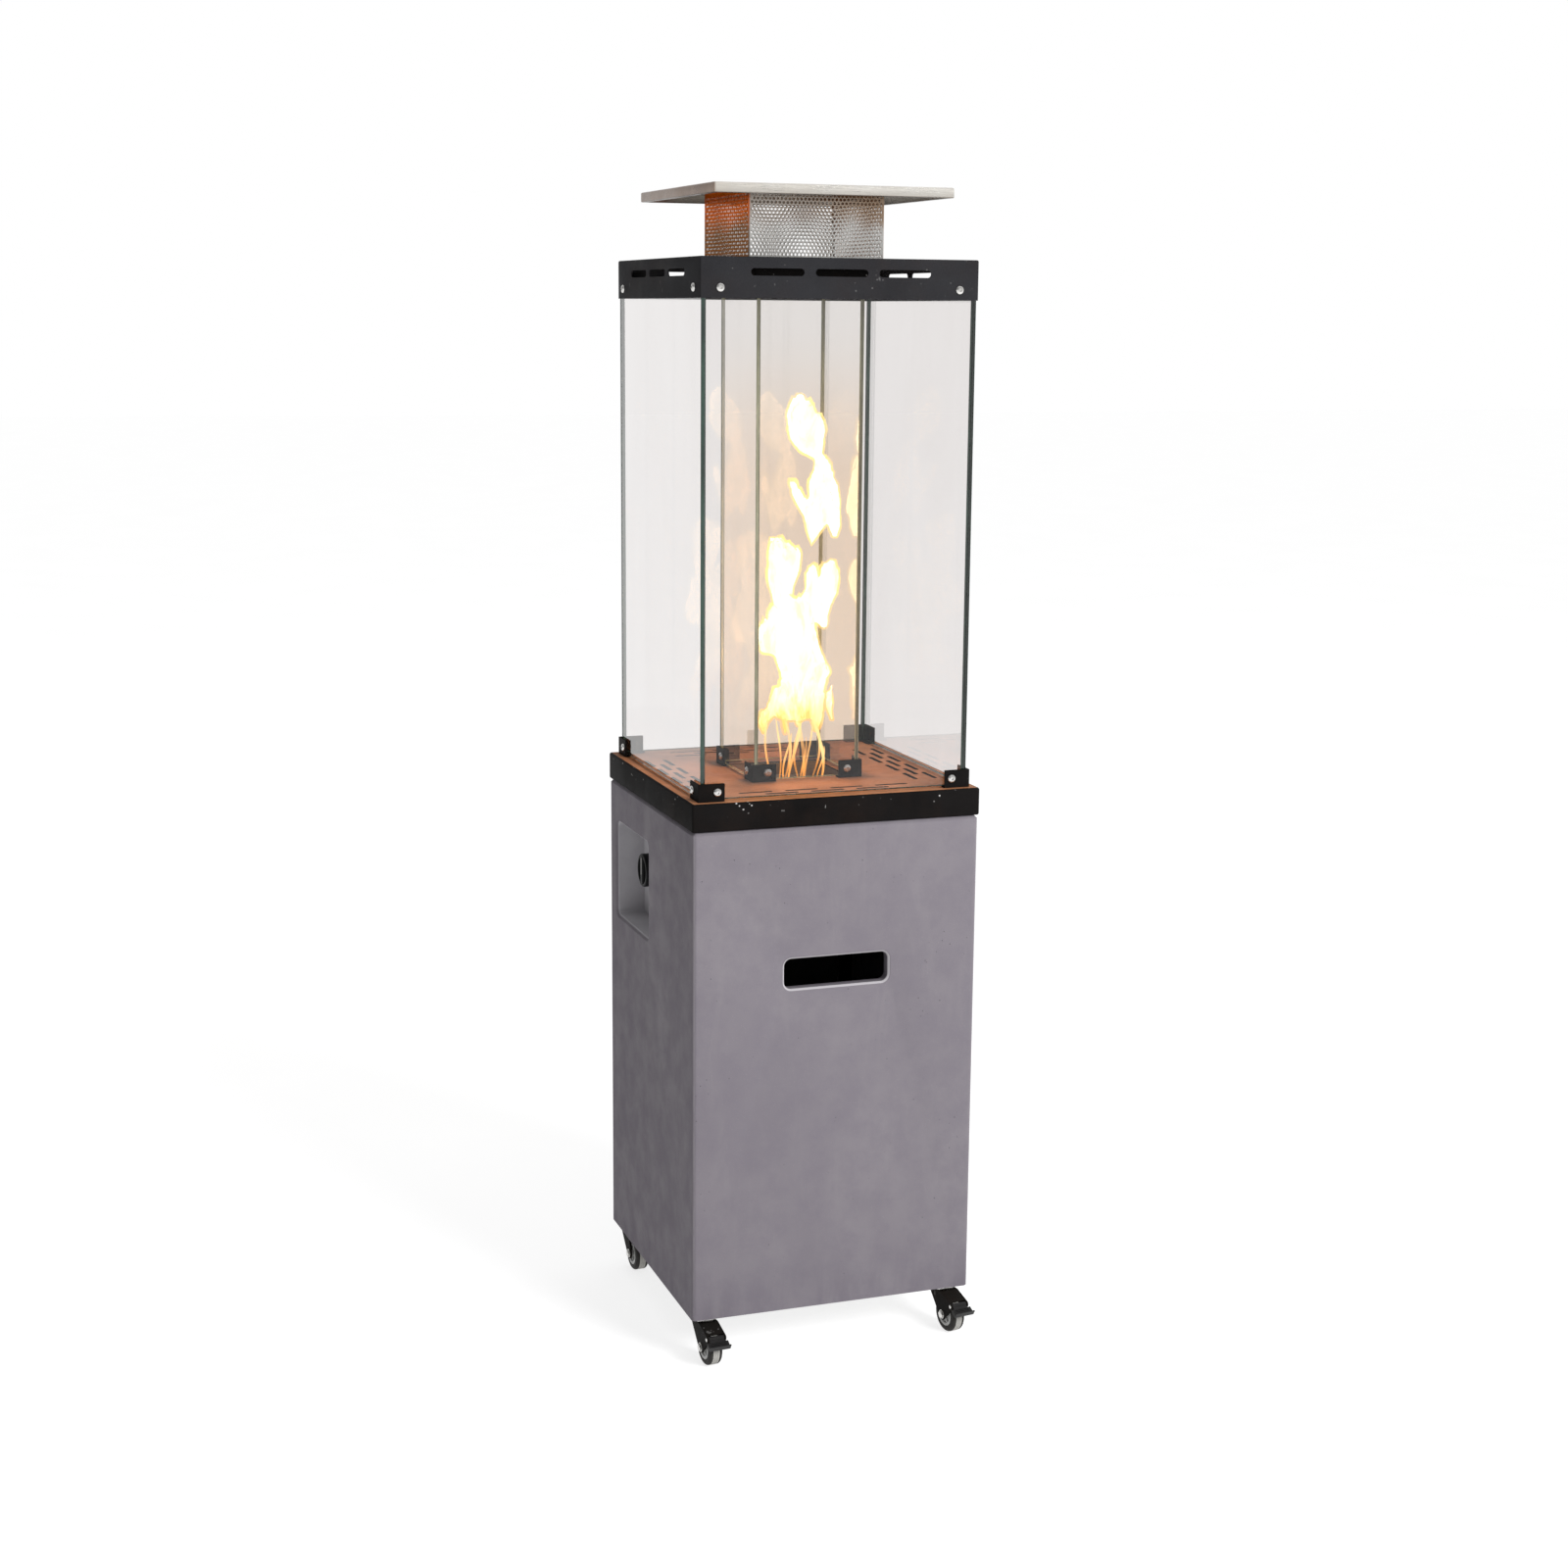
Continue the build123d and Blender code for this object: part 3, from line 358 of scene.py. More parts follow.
def cap_tint_and_shade(f):
    """Cap's colours: straw heat patches, painted shade that darkens the sides downwards, painted shade with a
    warm cast on the left face and a painted shadow underneath.
    """
    low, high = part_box("cap")
    cloud = f.grain(12.0, 4.0, 0.6)
    f.over(f.span(cloud, 0.35, 0.7, 0.05, 0.4), (0.56, 0.49, 0.4))
    # Painted shade: the sides darken downwards from a lighter top.
    f.over(f.along("Z", low.z + 2 * MM, high.z - 3 * MM, 0.55, 0.0), (0.3, 0.28, 0.25))
    # Painted shade on the left face.
    left_shade = f.ramp(cloud, (0.3, (0.18, 0.12, 0.09)), (0.7, (0.28, 0.2, 0.15)))
    f.over(f.along("X", low.x, low.x + 4 * MM, 0.95, 0.0), left_shade)
    # Painted shadow along the underside.
    f.over(f.along("Z", low.z, low.z + 2 * MM, 0.85, 0.0), (0.12, 0.09, 0.07))


blacks = ((0.0045, 0.0041, 0.0041), (0.008, 0.0073, 0.0072))
rust_brown = (0.03, 0.015, 0.009)
pan_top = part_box("top_pan")[1].z
rubber_mould = 0.6 * MM
finishes = {made.name: made for made in (
    cast_finish(),
    pan_finish(),
    painted_finish("black_steel", *blacks, 0.5, 0.35, (rust_brown, 0.35)),
    painted_finish("pan_skirt", *blacks, 0.5, 0.8, (rust_brown, 0.25), pan_top),
    painted_finish("frame_paint", (0.014, 0.014, 0.0155), (0.02, 0.02, 0.022), 0.5, 0.12, (rust_brown, 0.2)),
    painted_finish("door_paint", (0.075, 0.072, 0.076), (0.095, 0.091, 0.095), 0.55, 0.15,
                   ((0.07, 0.06, 0.06), 0.4)),
    painted_finish("caster_paint", (0.006, 0.0055, 0.005), (0.011, 0.01, 0.009), 0.38, 0.15, (rust_brown, 0.2)),
    metal_finish("zinc_sheet", (0.5, 0.5, 0.49), 0.42, "x"),
    metal_finish("stainless_steel", (0.66, 0.65, 0.63), 0.3, "x"),
    metal_finish("cap_steel", (0.66, 0.64, 0.6), 0.36, "x", cap_tint_and_shade, bare=0.65),
    metal_finish("guard_steel", (0.65, 0.64, 0.615), 0.28, "z", guard_heat_and_shade),
    metal_finish("screw_steel", (0.75, 0.74, 0.72), 0.22, "z"),
    metal_finish("burner_steel", (0.2, 0.17, 0.15), 0.5, "x"),
    metal_finish("brass_fitting", (0.62, 0.43, 0.19), 0.3, "z"),
    plastic_finish("ceramic", (0.7, 0.68, 0.62), (0.8, 0.78, 0.73), 0.55),
    plastic_finish("knob_plastic", (0.004, 0.004, 0.0045), (0.008, 0.008, 0.0085), 0.4, gloss=0.08),
    # Pale pointer mark, partly a painted highlight of the grip.
    plastic_finish("knob_mark", (0.3, 0.29, 0.28), (0.42, 0.41, 0.4), 0.45),
    plastic_finish("switch_plastic", (0.02, 0.02, 0.02), (0.03, 0.03, 0.03), 0.5),
    plastic_finish("pedal_plastic", (0.009, 0.009, 0.009), (0.016, 0.015, 0.015), 0.42),
    plastic_finish("hub_plastic", (0.3, 0.3, 0.29), (0.42, 0.42, 0.41), 0.35),
    plastic_finish("tread_rubber", (0.018, 0.017, 0.016), (0.034, 0.032, 0.03), 0.6, rubber_mould, 0.1),
    plastic_finish("tread_band", (0.24, 0.235, 0.22), (0.36, 0.35, 0.33), 0.6, rubber_mould),
    glass_finish("outer_glass", (0.9, 0.885, 0.88), (0.868, 0.848, 0.84)),
    # Inner glass: its warm tint is painted light of the flame, near clear higher up.
    glass_finish("inner_glass", (0.995, 0.912, 0.82), (0.97, 0.86, 0.755), (0.97, 0.965, 0.955)),
    glass_edge_finish("outer_glass_edge", (0.004, 0.011, 0.008), (0.02, 0.05, 0.036)),
    glass_edge_finish("inner_glass_edge", (0.13, 0.13, 0.075), (0.3, 0.3, 0.2)),
    flame_finish("flame_core", (0.34, 0.17, 0.045), (1.0, 0.7, 0.36), 6.5, 1.0, 1.0),
    flame_finish("flame_fringe", (1.0, 0.46, 0.09), (1.0, 0.74, 0.26), 1.9, 0.12, 0.7),
    flame_finish("flame_root", (1.0, 0.4, 0.07), (1.0, 0.72, 0.3), 1.7, 0.15, 0.8, 0.75, 0.85),
)}


# Mesh building

def moved(x, y, z):
    return Matrix.Translation((x, y, z))


def wall_place(turn, distance, height):
    """Local frame on a wall: turn 0 faces the front, 90 the right; x runs right, y up, z outwards."""
    angle = radians(turn)
    right = Vector((cos(angle), sin(angle), 0))
    out = Vector((sin(angle), -cos(angle), 0))
    made = Matrix((right, UP, out)).transposed().to_4x4()
    made.translation = distance * out + height * UP
    return made


def rounded(width, height, radius, steps=5, centre=(0.0, 0.0)):
    """Points round a rectangle with rounded corners."""
    points = []
    for number, (sx, sy) in enumerate(((1, 1), (-1, 1), (-1, -1), (1, -1))):
        for step in range(steps + 1):
            angle = radians(90 * (number + step / steps))
            x = centre[0] + sx * (width / 2 - radius) + radius * cos(angle)
            y = centre[1] + sy * (height / 2 - radius) + radius * sin(angle)
            if not points or dist((x, y), points[-1]) > SAME_POINT:
                points.append((x, y))
    if dist(points[0], points[-1]) < SAME_POINT:
        points.pop()
    return points


def oblong(width, height, centre=(0.0, 0.0)):
    return rounded(width, height, 0, 1, centre)


def bend(centre, radius, start, end, steps=4):
    """Points of an arc in a profile, angles in degrees."""
    angles = [radians(start + (end - start) * i / steps) for i in range(steps + 1)]
    return [(centre[0] + radius * cos(a), centre[1] + radius * sin(a)) for a in angles]


def circle(x, y, radius, count):
    return bend((x, y), radius, 0, 360, count)[:-1]


def both_sides(profile):
    """Closed profile of a wheel from the half above its middle plane."""
    whole = profile + [(radius, -height) for radius, height in profile[::-1]]
    return whole + whole[:1]


def hull(points):
    """Convex outline round points in mm, anticlockwise."""
    ordered = sorted(set((round(x, 4), round(y, 4)) for x, y in points))

    def half(run):
        line = []
        for p in run:
            while len(line) > 1 and (
                (line[-1][0] - line[-2][0]) * (p[1] - line[-2][1])
                - (line[-1][1] - line[-2][1]) * (p[0] - line[-2][0])
            ) <= 0:
                line.pop()
            line.append(p)
        return line[:-1]

    return half(ordered) + half(ordered[::-1])


def points_in(bm, place, spots):
    """New points, given in the place's own x, y and z."""
    return [bm.verts.new(place @ Vector(spot)) for spot in spots]


def hoop(bm, place, outline, level=0):
    """New points round an outline, at one level of the place's z."""
    return points_in(bm, place, [(x, y, level) for x, y in outline])


def skin(bm, rings):
    """Faces from each ring of points to the next; a ring may be one point."""
    for low, high in zip(rings, rings[1:]):
        count = max(len(low), len(high))
        for i in range(count):
            j = (i + 1) % count
            corners = [low[i % len(low)], low[j % len(low)], high[j % len(high)], high[i % len(high)]]
            corners = list(dict.fromkeys(corners))
            if len(corners) > 2:
                bm.faces.new(corners)


def strip(bm, place, columns):
    """Faces between neighbouring columns of two points each."""
    made = [points_in(bm, place, column) for column in columns]
    for a, b in zip(made, made[1:]):
        bm.faces.new((a[0], b[0], b[1], a[1]))


def flat_sheet(bm, loops, place):
    """One flat sheet: the first loop is its outline, the others its openings."""
    edges = []
    for loop in loops:
        corners = hoop(bm, place, loop)
        edges += [bm.edges.new((a, b)) for a, b in zip(corners, corners[1:] + corners[:1])]
    up = place.to_3x3() @ UP
    bmesh.ops.triangle_fill(bm, use_beauty=True, use_dissolve=False, edges=edges, normal=up)


def prism(bm, outline, low, high, place):
    """A straight solid with that outline, from low to high along the place's z."""
    bottom, top = (hoop(bm, place, outline, level) for level in (low, high))
    bm.faces.new(bottom[::-1])
    bm.faces.new(top)
    skin(bm, [bottom, top])


def turned(bm, profile, place, count):
    """A turned form: profile points are (radius, height) along the place's z."""
    rings = []
    for radius, height in profile:
        spots = circle(0, 0, radius, count) if radius > SAME_POINT else [(0.0, 0.0)]
        rings.append(hoop(bm, place, spots, height))
    skin(bm, rings)


def square_sweep(bm, profile, corner, cap_ends=False):
    """A folded square form: profile points are (half side, level)."""
    rings = []
    for half, level in profile:
        outline = rounded(2 * half, 2 * half, min(corner, 0.9 * half), 4)
        rings.append(hoop(bm, Matrix(), outline, level))
    skin(bm, rings)
    if cap_ends:
        bm.faces.new(rings[0])
        bm.faces.new(rings[-1][::-1])


def to_object(name, bm):
    mesh = bpy.data.meshes.new(name)
    bm.to_mesh(mesh)
    bm.free()
    made = bpy.data.objects.new(name, mesh)
    scene.collection.objects.link(made)
    return made


def settled_mesh(made):
    """The object's mesh with its modifiers made part of it."""
    return bpy.data.meshes.new_from_object(made.evaluated_get(bpy.context.evaluated_depsgraph_get()))


def round_edges(made, width, segments=2):
    bevel = made.modifiers.new("edges", "BEVEL")
    bevel.width = width
    bevel.segments = segments
    bevel.limit_method = "ANGLE"
    bevel.angle_limit = radians(40)
    bevel.harden_normals = True
    bevel.use_clamp_overlap = True


def piece(name, bm, finish, *stands_for, body="body", slot="", thick=0.0, edge=0.0, sharp=38):
    """Turns bm into a named piece on a CAD body, with sheet thickness and broken edges where asked.

    A piece with two finishes wears the second on a sheet's cut edges or on the faces marked for it.
    slot is not used: an empty one is only set to the finish's name."""
    bmesh.ops.remove_doubles(bm, verts=bm.verts, dist=WELD)
    if not thick:
        bmesh.ops.recalc_face_normals(bm, faces=bm.faces)
    made = to_object(name, bm)
    for one in finish if isinstance(finish, tuple) else (finish,):
        made.data.materials.append(finishes[one].material)
    if thick:
        sheet = made.modifiers.new("sheet", "SOLIDIFY")
        sheet.thickness = thick
        sheet.offset = -1.0
        sheet.material_offset_rim = len(made.data.materials) - 1
    made.data.shade_smooth()
    if edge:
        round_edges(made, edge)
    else:
        mesh = settled_mesh(made)
        made.modifiers.clear()
        made.data = mesh
        mesh.set_sharp_from_angle(angle=radians(sharp))
    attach(made, body)
    if slot == "":
        slot = finish
    if stands_for:
        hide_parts(*stands_for)


def screw(bm, place, radius, height):
    """Dome-head screw with a hexagon socket."""
    count, wall, socket, socket_floor = 24, 0.18 * height, 0.4 * radius, 0.35 * height
    rise = [radians(15 * i) for i in range(1, 5)]
    dome = [(radius, 0.0), (radius, wall)]
    dome += [(radius * cos(a), wall + (height - wall) * sin(a)) for a in rise]
    turned(bm, dome, place, count)
    lip_radius, lip_level = dome[-1]
    sixth = pi / 3
    hexagon = []
    for i in range(count):
        angle = 2 * pi * i / count
        reach = socket * cos(sixth / 2) / cos((angle % sixth) - sixth / 2)
        hexagon.append((reach * cos(angle), reach * sin(angle)))
    lip = circle(0, 0, lip_radius, count)
    rings = [hoop(bm, place, outline, level) for outline, level in (
        (lip, lip_level), (hexagon, lip_level), (hexagon, socket_floor))]
    skin(bm, rings)
    bm.faces.new(rings[-1])


# Driving sizes that the frame gives

base_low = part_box("base_shell")[0]
pan_low, pan_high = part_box("top_pan")
frame_low, frame_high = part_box("top_frame")
guard_low, guard_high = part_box("flue_guard")
cap_low, cap_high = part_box("cap")
pane_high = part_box("outer_glass_front")[1]
tube_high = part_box("inner_glass_front")[1]
tray_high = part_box("burner_tray")[1]
outer_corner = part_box("outer_brackets")[1].x
inner_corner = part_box("inner_brackets")[1].x

# Parts that keep their built shape, by finish, with the width of their broken edges in mm

kept = {
    "cast_base": {"base_shell": 1.6},
    "zinc_sheet": {"base_floor": 0.4, "cylinder_lugs": 0.4, "valve_bracket": 0.3},
    "black_steel": {"outer_brackets": 0.7, "inner_brackets": 0.7, "inner_glass_clips": 0.3},
    "burner_steel": {"burner_tray": 0.4, "burner": 0.4},
    "brass_fitting": {"pilot_burner": 0.3, "gas_valve": 0.6, "valve_plunger": 0.2, "gas_manifold": 0.3},
    "screw_steel": {"thermocouple": 0.2, "valve_stem": 0.2, "hinge_leaves_fixed": 0.25,
                    "hinge_leaves_door": 0.25},
    "ceramic": {"spark_electrode": 0.15},
    "switch_plastic": {"tilt_switch": 0.5, "door_catch": 0.4},
    "door_paint": {"rear_door": 0.5},
}
for finish, edges in kept.items():
    for name, edge in edges.items():
        node = cad_nodes[name]
        node.data.materials.clear()
        node.data.materials.append(finishes[finish].material)
        node.data.shade_smooth()
        node.modifiers.new("weld", "WELD").merge_threshold = 2 * WELD
        round_edges(node, edge * MM, 3 if name == "base_shell" else 2)

# Stop frame that the rear door closes against, open where the catch sits

door_low, door_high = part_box("rear_door")
catch_low, catch_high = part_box("door_catch")
stop_lap, stop_lip, stop_sheet, stop_room, leaf_gap = mm(12, 7, 1.5, 3, 1)
wall_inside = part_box("hinge_leaves_fixed")[0].y - leaf_gap
stop_out = -door_low.x + stop_lap
stop_in = -door_low.x - stop_lip
stop_foot, stop_head = door_low.z - stop_lap + stop_room, door_high.z + stop_lap
sill, lintel = door_low.z + stop_lip, door_high.z - stop_lip
notch_low, notch_high = catch_low.z - stop_room, catch_high.z + stop_room
outline = [(stop_out, notch_high), (stop_out, stop_head), (-stop_out, stop_head), (-stop_out, stop_foot)]
outline += [(stop_out, stop_foot), (stop_out, notch_low), (stop_in, notch_low), (stop_in, sill)]
outline += [(-stop_in, sill), (-stop_in, lintel), (stop_in, lintel), (stop_in, notch_high)]
bm = bmesh.new()
flat_sheet(bm, [outline], wall_place(180, wall_inside, 0))
piece("door_stop", bm, "black_steel", thick=stop_sheet, edge=0.3 * MM)

# Burner pan: browned plate with rounded vents, and a black folded skirt with a turned-in foot

pan_half = pan_high.x
pan_sheet, pan_fold, pan_foot, foot_fold = mm(2, 2.6, 26, 2)
opening_half = tray_high.x - 10 * MM
vent_rows = ((171 * MM, 4), (157 * MM, 3), (143 * MM, 4))
vent_length, vent_width, vent_pitch = mm(47, 6.5, 64)
plate_side = 2 * (pan_half - pan_fold)
loops = [rounded(plate_side, plate_side, 0.8 * MM, 2), rounded(2 * opening_half, 2 * opening_half, 3 * MM, 4)]
for turn in QUARTERS:
    quarter = Matrix.Rotation(radians(turn), 2)
    for distance, count in vent_rows:
        for number in range(count):
            middle = (distance, (number - (count - 1) / 2) * vent_pitch)
            vent = rounded(vent_width, vent_length, 0.49 * vent_width, 4, middle)
            loops.append([tuple(quarter @ Vector(p)) for p in vent])
bm = bmesh.new()
flat_sheet(bm, loops, moved(0, 0, pan_high.z))
piece("pan_plate", bm, ("pan_plate", "black_steel"), "top_pan", slot="black_steel", thick=pan_sheet)

bm = bmesh.new()
inner = pan_half - pan_sheet
fold_half, fold_level = pan_half - pan_fold, pan_high.z - pan_fold
foot_top = pan_low.z + pan_sheet
profile = bend((fold_half, fold_level), pan_fold, 90, 0)
profile += bend((pan_half - foot_fold, pan_low.z + foot_fold), foot_fold, 0, -90)
profile += [(pan_half - pan_foot, pan_low.z), (pan_half - pan_foot, foot_top), (inner, foot_top)]
profile += [(inner, fold_level), (fold_half, pan_high.z - pan_sheet)]
square_sweep(bm, profile + profile[:1], 3 * MM)
piece("pan_skirt", bm, "pan_skirt", "top_pan", slot="black_steel", sharp=50)

# Glass panes with ground, softened edges; the wide inner face is left out

ground_edge = 0.7 * MM
square_on = 0.99
for side in ("front", "right", "back", "left"):
    for ring in ("outer", "inner"):
        low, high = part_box(f"{ring}_glass_{side}")
        size = high - low
        thin = min(range(3), key=lambda i: size[i])
        bm = bmesh.new()
        bmesh.ops.create_cube(bm, size=1.0)
        bmesh.ops.scale(bm, verts=bm.verts, vec=size)
        bmesh.ops.translate(bm, verts=bm.verts, vec=(low + high) / 2)
        bmesh.ops.bevel(bm, geom=bm.edges, offset=ground_edge, segments=2, affect="EDGES", profile=0.5)
        outward = 1 if low[thin] + high[thin] > 0 else -1
        inward = [f for f in bm.faces if f.normal[thin] * outward < -square_on]
        bmesh.ops.delete(bm, geom=inward, context="FACES_ONLY")
        for face in bm.faces:
            face.material_index = 0 if face.normal[thin] * outward > square_on else 1
        finish = (f"{ring}_glass", f"{ring}_glass_edge")
        piece(f"{ring}_pane_{side}", bm, finish, f"{ring}_glass_{side}", slot="clear_glass", sharp=5)

# Top frame: folded deck and skirt with round-ended slots, and gussets on the glass

frame_half = frame_high.x
frame_sheet, frame_fold, flue_half, gusset = mm(1.5, 2.2, 69, 42)
slot_length, slot_width, slot_pitch, slot_drop = mm(71, 9.3, 86, 18.6)
fold_steps = 4
flat = frame_half - frame_fold
wall_top = frame_high.z - frame_fold
wall = [(-flat, frame_low.z), (flat, frame_low.z), (flat, wall_top), (-flat, wall_top)]
slots = [rounded(slot_length, slot_width, 0.5 * slot_width, 6, (number * slot_pitch, frame_high.z - slot_drop))
         for number in (-1, 0, 1)]
deck = [(-flat, -flat), (flat, -flat), (flat, flat), (-flat, flat)]
flue = rounded(2 * flue_half, 2 * flue_half, 3 * MM, 3)
bm = bmesh.new()
for turn in QUARTERS:
    flat_sheet(bm, [wall] + slots, wall_place(turn, frame_half, 0))
flat_sheet(bm, [deck, flue], moved(0, 0, frame_high.z))
sweep = [radians(90 * i / fold_steps) for i in range(fold_steps + 1)]
for turn in QUARTERS:
    place = wall_place(turn, frame_half, 0)
    top_fold = bend((wall_top, -frame_fold), frame_fold, 90, 0, fold_steps)
    strip(bm, place, [[(x, level, depth) for x in (-flat, flat)] for level, depth in top_fold])
    side_fold = bend((flat, -frame_fold), frame_fold, 90, 0, fold_steps)
    strip(bm, place, [[(x, level, depth) for level in (frame_low.z, wall_top)] for x, depth in side_fold])
    ball = []
    for tilt in sweep:
        reach = frame_fold * cos(tilt)
        level = wall_top + frame_fold * sin(tilt)
        ball.append(points_in(bm, place, [
            (flat + reach * sin(a), level, reach * cos(a) - frame_fold) for a in sweep]))
    for a, b in zip(ball, ball[1:]):
        for j in range(fold_steps):
            above = (b[0],) if b is ball[-1] else (b[j + 1], b[j])
            bm.faces.new((a[j], a[j + 1], *above))
bmesh.ops.remove_doubles(bm, verts=bm.verts, dist=2 * WELD)
bmesh.ops.recalc_face_normals(bm, faces=bm.faces)
if max(bm.faces, key=lambda f: f.calc_center_median().z).normal.z < 0:
    bmesh.ops.reverse_faces(bm, faces=bm.faces)
piece("frame_cover", bm, "frame_paint", "top_frame", thick=frame_sheet, edge=0.25 * MM)

bm = bmesh.new()
inside = frame_half - frame_sheet
triangle = [(inside, inside), (inside - gusset, inside), (inside, inside - gusset)]
for turn in QUARTERS:
    quarter = Matrix.Rotation(radians(turn), 4, "Z") @ moved(0, 0, pane_high.z)
    prism(bm, triangle, 0, frame_sheet, quarter)
piece("frame_gussets", bm, "frame_paint", "top_frame", edge=0.2 * MM)

# Flue guard: folded perforated sheet with plain hems and turned-in flanges

guard_half = guard_high.x
guard_sheet, guard_fold, guard_hem, guard_flange, flange_sheet = mm(0.8, 2, 3.2, 12, 1.2)
columns_per_face = 34
flat = guard_half - guard_fold
pitch = 2 * flat / columns_per_face
half_pitch = pitch / 2
rise = 0.866 * pitch
hole = 0.4 * pitch
rows_up = int((guard_high.z - guard_low.z - 2 * guard_hem) / rise)
first = guard_low.z + guard_hem
hexagon = bend((0, 0), hole, 210, 510, 5)
bm = bmesh.new()
for turn in QUARTERS:
    place = wall_place(turn, guard_half, 0)
    plain = [(-flat, flat, guard_low.z, first), (-flat, flat, first + rows_up * rise, guard_high.z)]
    for row in range(rows_up):
        low, high = first + row * rise, first + (row + 1) * rise
        shift = row % 2
        if shift:
            plain += [(x, x + half_pitch, low, high) for x in (-flat, flat - half_pitch)]
        for column in range(columns_per_face - shift):
            x = -flat + (column + shift / 2) * pitch
            middle, level = x + half_pitch, (low + high) / 2
            rim = [(x, low), (middle, low), (x + pitch, low), (x + pitch, high), (middle, high), (x, high)]
            opening = [(middle + right, level + up) for right, up in hexagon]
            skin(bm, [hoop(bm, place, rim), hoop(bm, place, opening)])
    for left, right, low, high in plain:
        bm.faces.new(hoop(bm, place, [(left, low), (right, low), (right, high), (left, high)]))
    fold = bend((flat, -guard_fold), guard_fold, 90, 0)
    strip(bm, place, [[(x, level, depth) for level in (guard_low.z, guard_high.z)] for x, depth in fold])
piece("flue_guard_mesh", bm, "guard_steel", "flue_guard", slot="stainless_steel", thick=guard_sheet)

bm = bmesh.new()
seam = guard_half - guard_sheet
for low in (guard_low.z, guard_high.z - flange_sheet):
    high = low + flange_sheet
    profile = [(seam, low), (seam, high), (seam - guard_flange, high), (seam - guard_flange, low), (seam, low)]
    square_sweep(bm, profile, 2 * MM)
piece("flue_guard_flanges", bm, "stainless_steel", "flue_guard")

# Cap: folded tray with a hem

cap_half = cap_high.x
cap_sheet, cap_fold, cap_hem, hem_fold, cap_middle = mm(1.2, 1.8, 7, 1.2, 2)
cap_inner = cap_half - cap_sheet
hem_top = cap_low.z + cap_sheet
profile = [(cap_middle, cap_high.z)]
profile += bend((cap_half - cap_fold, cap_high.z - cap_fold), cap_fold, 90, 0)
profile += bend((cap_half - hem_fold, cap_low.z + hem_fold), hem_fold, 0, -90)
profile += [(cap_half - cap_hem, cap_low.z), (cap_half - cap_hem, hem_top), (cap_inner, hem_top)]
profile += [(cap_inner, cap_high.z - cap_sheet), (cap_middle, cap_high.z - cap_sheet)]
bm = bmesh.new()
square_sweep(bm, profile, 1.6 * MM, cap_ends=True)
piece("cap_tray", bm, "cap_steel", "cap", slot="stainless_steel", sharp=50)

# Dome screws on the brackets and the frame

screw_radius, screw_rise = mm(5.6, 3.2)
bracket_level = pan_high.z + 12.5 * MM
frame_level = frame_low.z + 13 * MM
for name, half, inset, level in (
    ("outer_bracket_screws", outer_corner, 26 * MM, bracket_level),
    ("inner_bracket_screws", inner_corner, 22 * MM, bracket_level),
    ("frame_screws", frame_half, 26.5 * MM, frame_level),
):
    bm = bmesh.new()
    for turn in QUARTERS:
        for side in (-1, 1):
            place = wall_place(turn, half, level) @ moved(side * (half - inset), 0, 0)
            screw(bm, place, screw_radius, screw_rise)
    piece(name, bm, "screw_steel")

# Lock nuts on the caster stems inside the base, in mm

nut_radius, nut_height, nut_top, nut_bore, floor_sheet = 7.5, 6.5, 8.2, 4.1, 2
nut_collar = [(nut_bore, nut_height), (6.2, nut_height), (5.6, nut_top), (nut_bore, nut_top)]
bm = bmesh.new()
for corner in CORNERS:
    place = moved(*joint_at[f"swivel_turn_{corner}"].xy, base_low.z) @ MILLI @ moved(0, 0, floor_sheet)
    prism(bm, circle(0, 0, nut_radius, 6), 0, nut_height, place)
    turned(bm, nut_collar + nut_collar[:1], place, 24)
piece("stem_lock_nuts", bm, "screw_steel", edge=0.3 * MM)

# Control knob, in mm along its own axis: deep skirt with a dished face, rounded bar grip with a pale mark that
# is partly a painted highlight

knob_low, knob_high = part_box("control_knob")
knob_place = wall_place(270, 0, 0)
knob_place.translation = (knob_high.x, (knob_low.y + knob_high.y) / 2, (knob_low.z + knob_high.z) / 2)
knob_place = knob_place @ MILLI
knob_radius = (knob_high.y - knob_low.y) / 2 / MM
knob_height = (knob_high.x - knob_low.x) / MM
skirt, skirt_round, stem_bore = knob_height - 1.2, 2.2, 4.3
dish_floor = skirt - 4.5
grip_width, grip_length, grip_round, grip_top = 11, 43, 4.2, knob_height - 0.3
mark_width, mark_length, mark_shift = 2.2, 24, 6
profile = [(stem_bore, 0), (knob_radius - 0.8, 0), (knob_radius, 0.8), (knob_radius, skirt - skirt_round)]
profile += bend((knob_radius - skirt_round, skirt - skirt_round), skirt_round, 0, 80)
profile += [(knob_radius - 4, skirt - 0.1), (knob_radius - 5.2, dish_floor + 0.3)]
profile += [(0.5 * knob_radius, dish_floor), (0, dish_floor)]
bm = bmesh.new()
turned(bm, profile, knob_place, 72)
rings = []
for inset, level in ((0, dish_floor - 0.7), (0, grip_top - 2.2), (0.5, grip_top - 1), (1.4, grip_top - 0.3),
                     (2.6, grip_top)):
    outline = rounded(grip_width - 2 * inset, grip_length - 2 * inset, grip_round - inset, 6)
    rings.append(hoop(bm, knob_place, outline, level))
skin(bm, rings)
bm.faces.new(rings[-1])
piece("knob_grip", bm, "knob_plastic", "control_knob", body="knob", sharp=42)
# Pale strip on the grip: a pointer mark that also stands in for the grip's highlight.
bm = bmesh.new()
prism(bm, rounded(mark_width, mark_length, 1, 4), 0, 0.35, knob_place @ moved(0, mark_shift, grip_top - 0.1))
piece("knob_mark", bm, "knob_mark", body="knob", slot="knob_plastic")

# Swivel casters, in mm from the floor under the swivel: x ahead, y up, z along the axle

